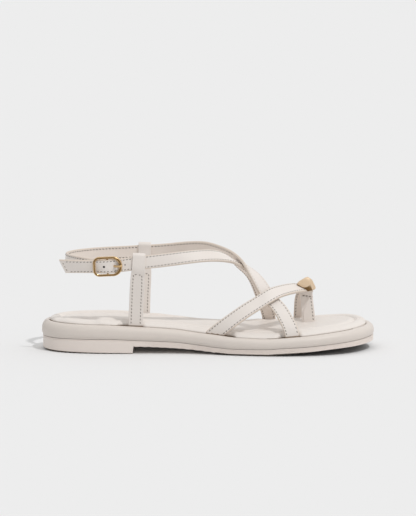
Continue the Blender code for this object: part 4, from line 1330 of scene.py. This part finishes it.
def stud_rings():
    """Rounded diamonds, cosine and sine each raised to a power, stacked up a smooth profile."""
    knots = np.arange(len(STUD_RINGS), dtype=float)
    profile = np.column_stack([
        gentle(knots, column, np.linspace(0.0, knots[-1], STUD_STEPS)) for column in STUD_RINGS.T
    ])
    turn = np.linspace(0.0, 2.0 * math.pi, STUD_SIDES, endpoint=False)
    length = STUD_HALF_LENGTH * np.sign(np.cos(turn)) * np.abs(np.cos(turn)) ** STUD_RIDGE
    depth = STUD_HALF_DEPTH * np.sign(np.sin(turn)) * np.abs(np.sin(turn)) ** STUD_RIDGE
    depth = np.where(depth < 0.0, STUD_NEAR_SHARE * depth, depth)
    flat = length[:, None] * stud_length_way + depth[:, None] * stud_depth_way
    middle = STUD_CENTRE + profile[:, 1:2] * stud_up + profile[:, 2:3] * stud_length_way
    return middle[:, None, :] + profile[:, 0][:, None, None] * flat


def stud_painted_light(points):
    """Painted light: bright above a line that is low at the ends of the stud and high at its middle, painted
    dark as shade and reflection below it, and bright at a painted glint.
    """
    place = points - STUD_CENTRE
    height, along, depth = place @ stud_up, place @ stud_length_way, place @ stud_depth_way
    middle = np.abs(depth) / (np.abs(depth) + np.abs(along) + 1e-6)
    line = SHADE_LINE[0] + SHADE_LINE[1] * smooth_step(*SHADE_RISE, middle)
    glint = np.exp(-((height - GLINT_PLACE) ** 2 + along ** 2) / GLINT_REACH ** 2)
    return np.maximum(smooth_step(-SHADE_SOFT, SHADE_SOFT, height - line), glint)


satin_gold = gold_finish("stud_gold", SATIN_GOLD, SATIN_GOLD_WORN, STUD_PAINTED_SHADE, rough=0.68)
stud_faces = capped_faces(STUD_STEPS, STUD_SIDES)
stud = make_piece("toe_stud_pebble", stud_rings().reshape(-1, 3), stud_faces, [satin_gold], sharp=60.0)
mark_painted_light(stud, stud_painted_light(rows_of(stud.data.vertices, "co") / MM))
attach(stud, "root")
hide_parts("toe_stud")

# Stage
# A plain pale floor that runs past the frame, one key light from the right and front with crisp shadows,
# and a pale studio all round that is dimmer towards the camera and the heel.
FLOOR_HALF = 30.0
FLOOR_CORNERS = ((-1, -1), (1, -1), (1, 1), (-1, 1))
FLOOR_COLOUR = (0.80, 0.80, 0.80)
LAMP_TRAVEL = Vector((-0.43, 0.5, -1.0))
LAMP_STRENGTH = 1.05
LAMP_ANGLE = math.radians(2.0)
STUDIO_LEVEL = 0.487
STUDIO_LEAN = (0.28, 0.25, 0.9)
BACKDROP = (0.845, 0.845, 0.845)
PHOTO_HEIGHT = 516
PIXEL_SIZE = 0.7635
CAMERA_DISTANCE = 4.0
CAMERA_ELEVATION = math.radians(7.8)
CAMERA_TARGET = Vector((0.0, 0.0, 0.0694))
SENSOR = 36.0

floor_mesh = bpy.data.meshes.new("floor")
floor_points = [(x * FLOOR_HALF, y * FLOOR_HALF, 0.0) for x, y in FLOOR_CORNERS]
floor_mesh.from_pydata(floor_points, [], [(0, 1, 2, 3)])
floor_finish = plain_finish("floor_paper", FLOOR_COLOUR, rough=1.0)
floor_shader = floor_finish.node_tree.nodes["Principled BSDF"]
floor_shader.inputs["Specular IOR Level"].default_value = 0.0
floor_mesh.materials.append(floor_finish)
floor = bpy.data.objects.new("floor", floor_mesh)
bpy.context.scene.collection.objects.link(floor)

lamp_data = bpy.data.lights.new("key_light", "SUN")
lamp_data.energy = LAMP_STRENGTH
lamp_data.angle = LAMP_ANGLE
lamp = bpy.data.objects.new("key_light", lamp_data)
lamp.rotation_euler = LAMP_TRAVEL.to_track_quat("-Z", "Y").to_euler()
bpy.context.scene.collection.objects.link(lamp)


def make_studio():
    """World whose light grows with the direction's share of a lean, and is even where the camera sees it."""
    world = bpy.data.worlds.new("studio")
    world.use_nodes = True
    nodes = world.node_tree.nodes
    link = world.node_tree.links.new
    place = nodes.new("ShaderNodeTexCoord")
    lean = nodes.new("ShaderNodeVectorMath")
    lean.operation = "DOT_PRODUCT"
    lean.inputs[1].default_value = STUDIO_LEAN
    level = nodes.new("ShaderNodeMath")
    level.operation = "MULTIPLY_ADD"
    level.inputs[1].default_value = STUDIO_LEVEL
    level.inputs[2].default_value = STUDIO_LEVEL
    seen = nodes.new("ShaderNodeLightPath")
    choice = nodes.new("ShaderNodeMix")
    choice.data_type = "RGBA"
    choice.inputs["B"].default_value = (*BACKDROP, 1.0)
    backdrop = nodes["Background"]
    link(place.outputs["Generated"], lean.inputs[0])
    link(lean.outputs["Value"], level.inputs[0])
    link(seen.outputs["Is Camera Ray"], choice.inputs["Factor"])
    link(level.outputs[0], choice.inputs["A"])
    link(choice.outputs["Result"], backdrop.inputs["Color"])
    return world


bpy.context.scene.world = make_studio()
bpy.context.scene.view_settings.view_transform = "Standard"

camera_data = bpy.data.cameras.new("camera")
camera_data.sensor_width = SENSOR
camera_data.lens = SENSOR * CAMERA_DISTANCE / (PHOTO_HEIGHT * PIXEL_SIZE * MM)
camera_data.clip_end = 100.0
camera = bpy.data.objects.new("camera", camera_data)
back = Vector((0.0, -math.cos(CAMERA_ELEVATION), math.sin(CAMERA_ELEVATION)))
camera.location = CAMERA_TARGET + CAMERA_DISTANCE * back
camera.rotation_euler = (-back).to_track_quat("-Z", "Y").to_euler()
bpy.context.scene.collection.objects.link(camera)
bpy.context.scene.camera = camera
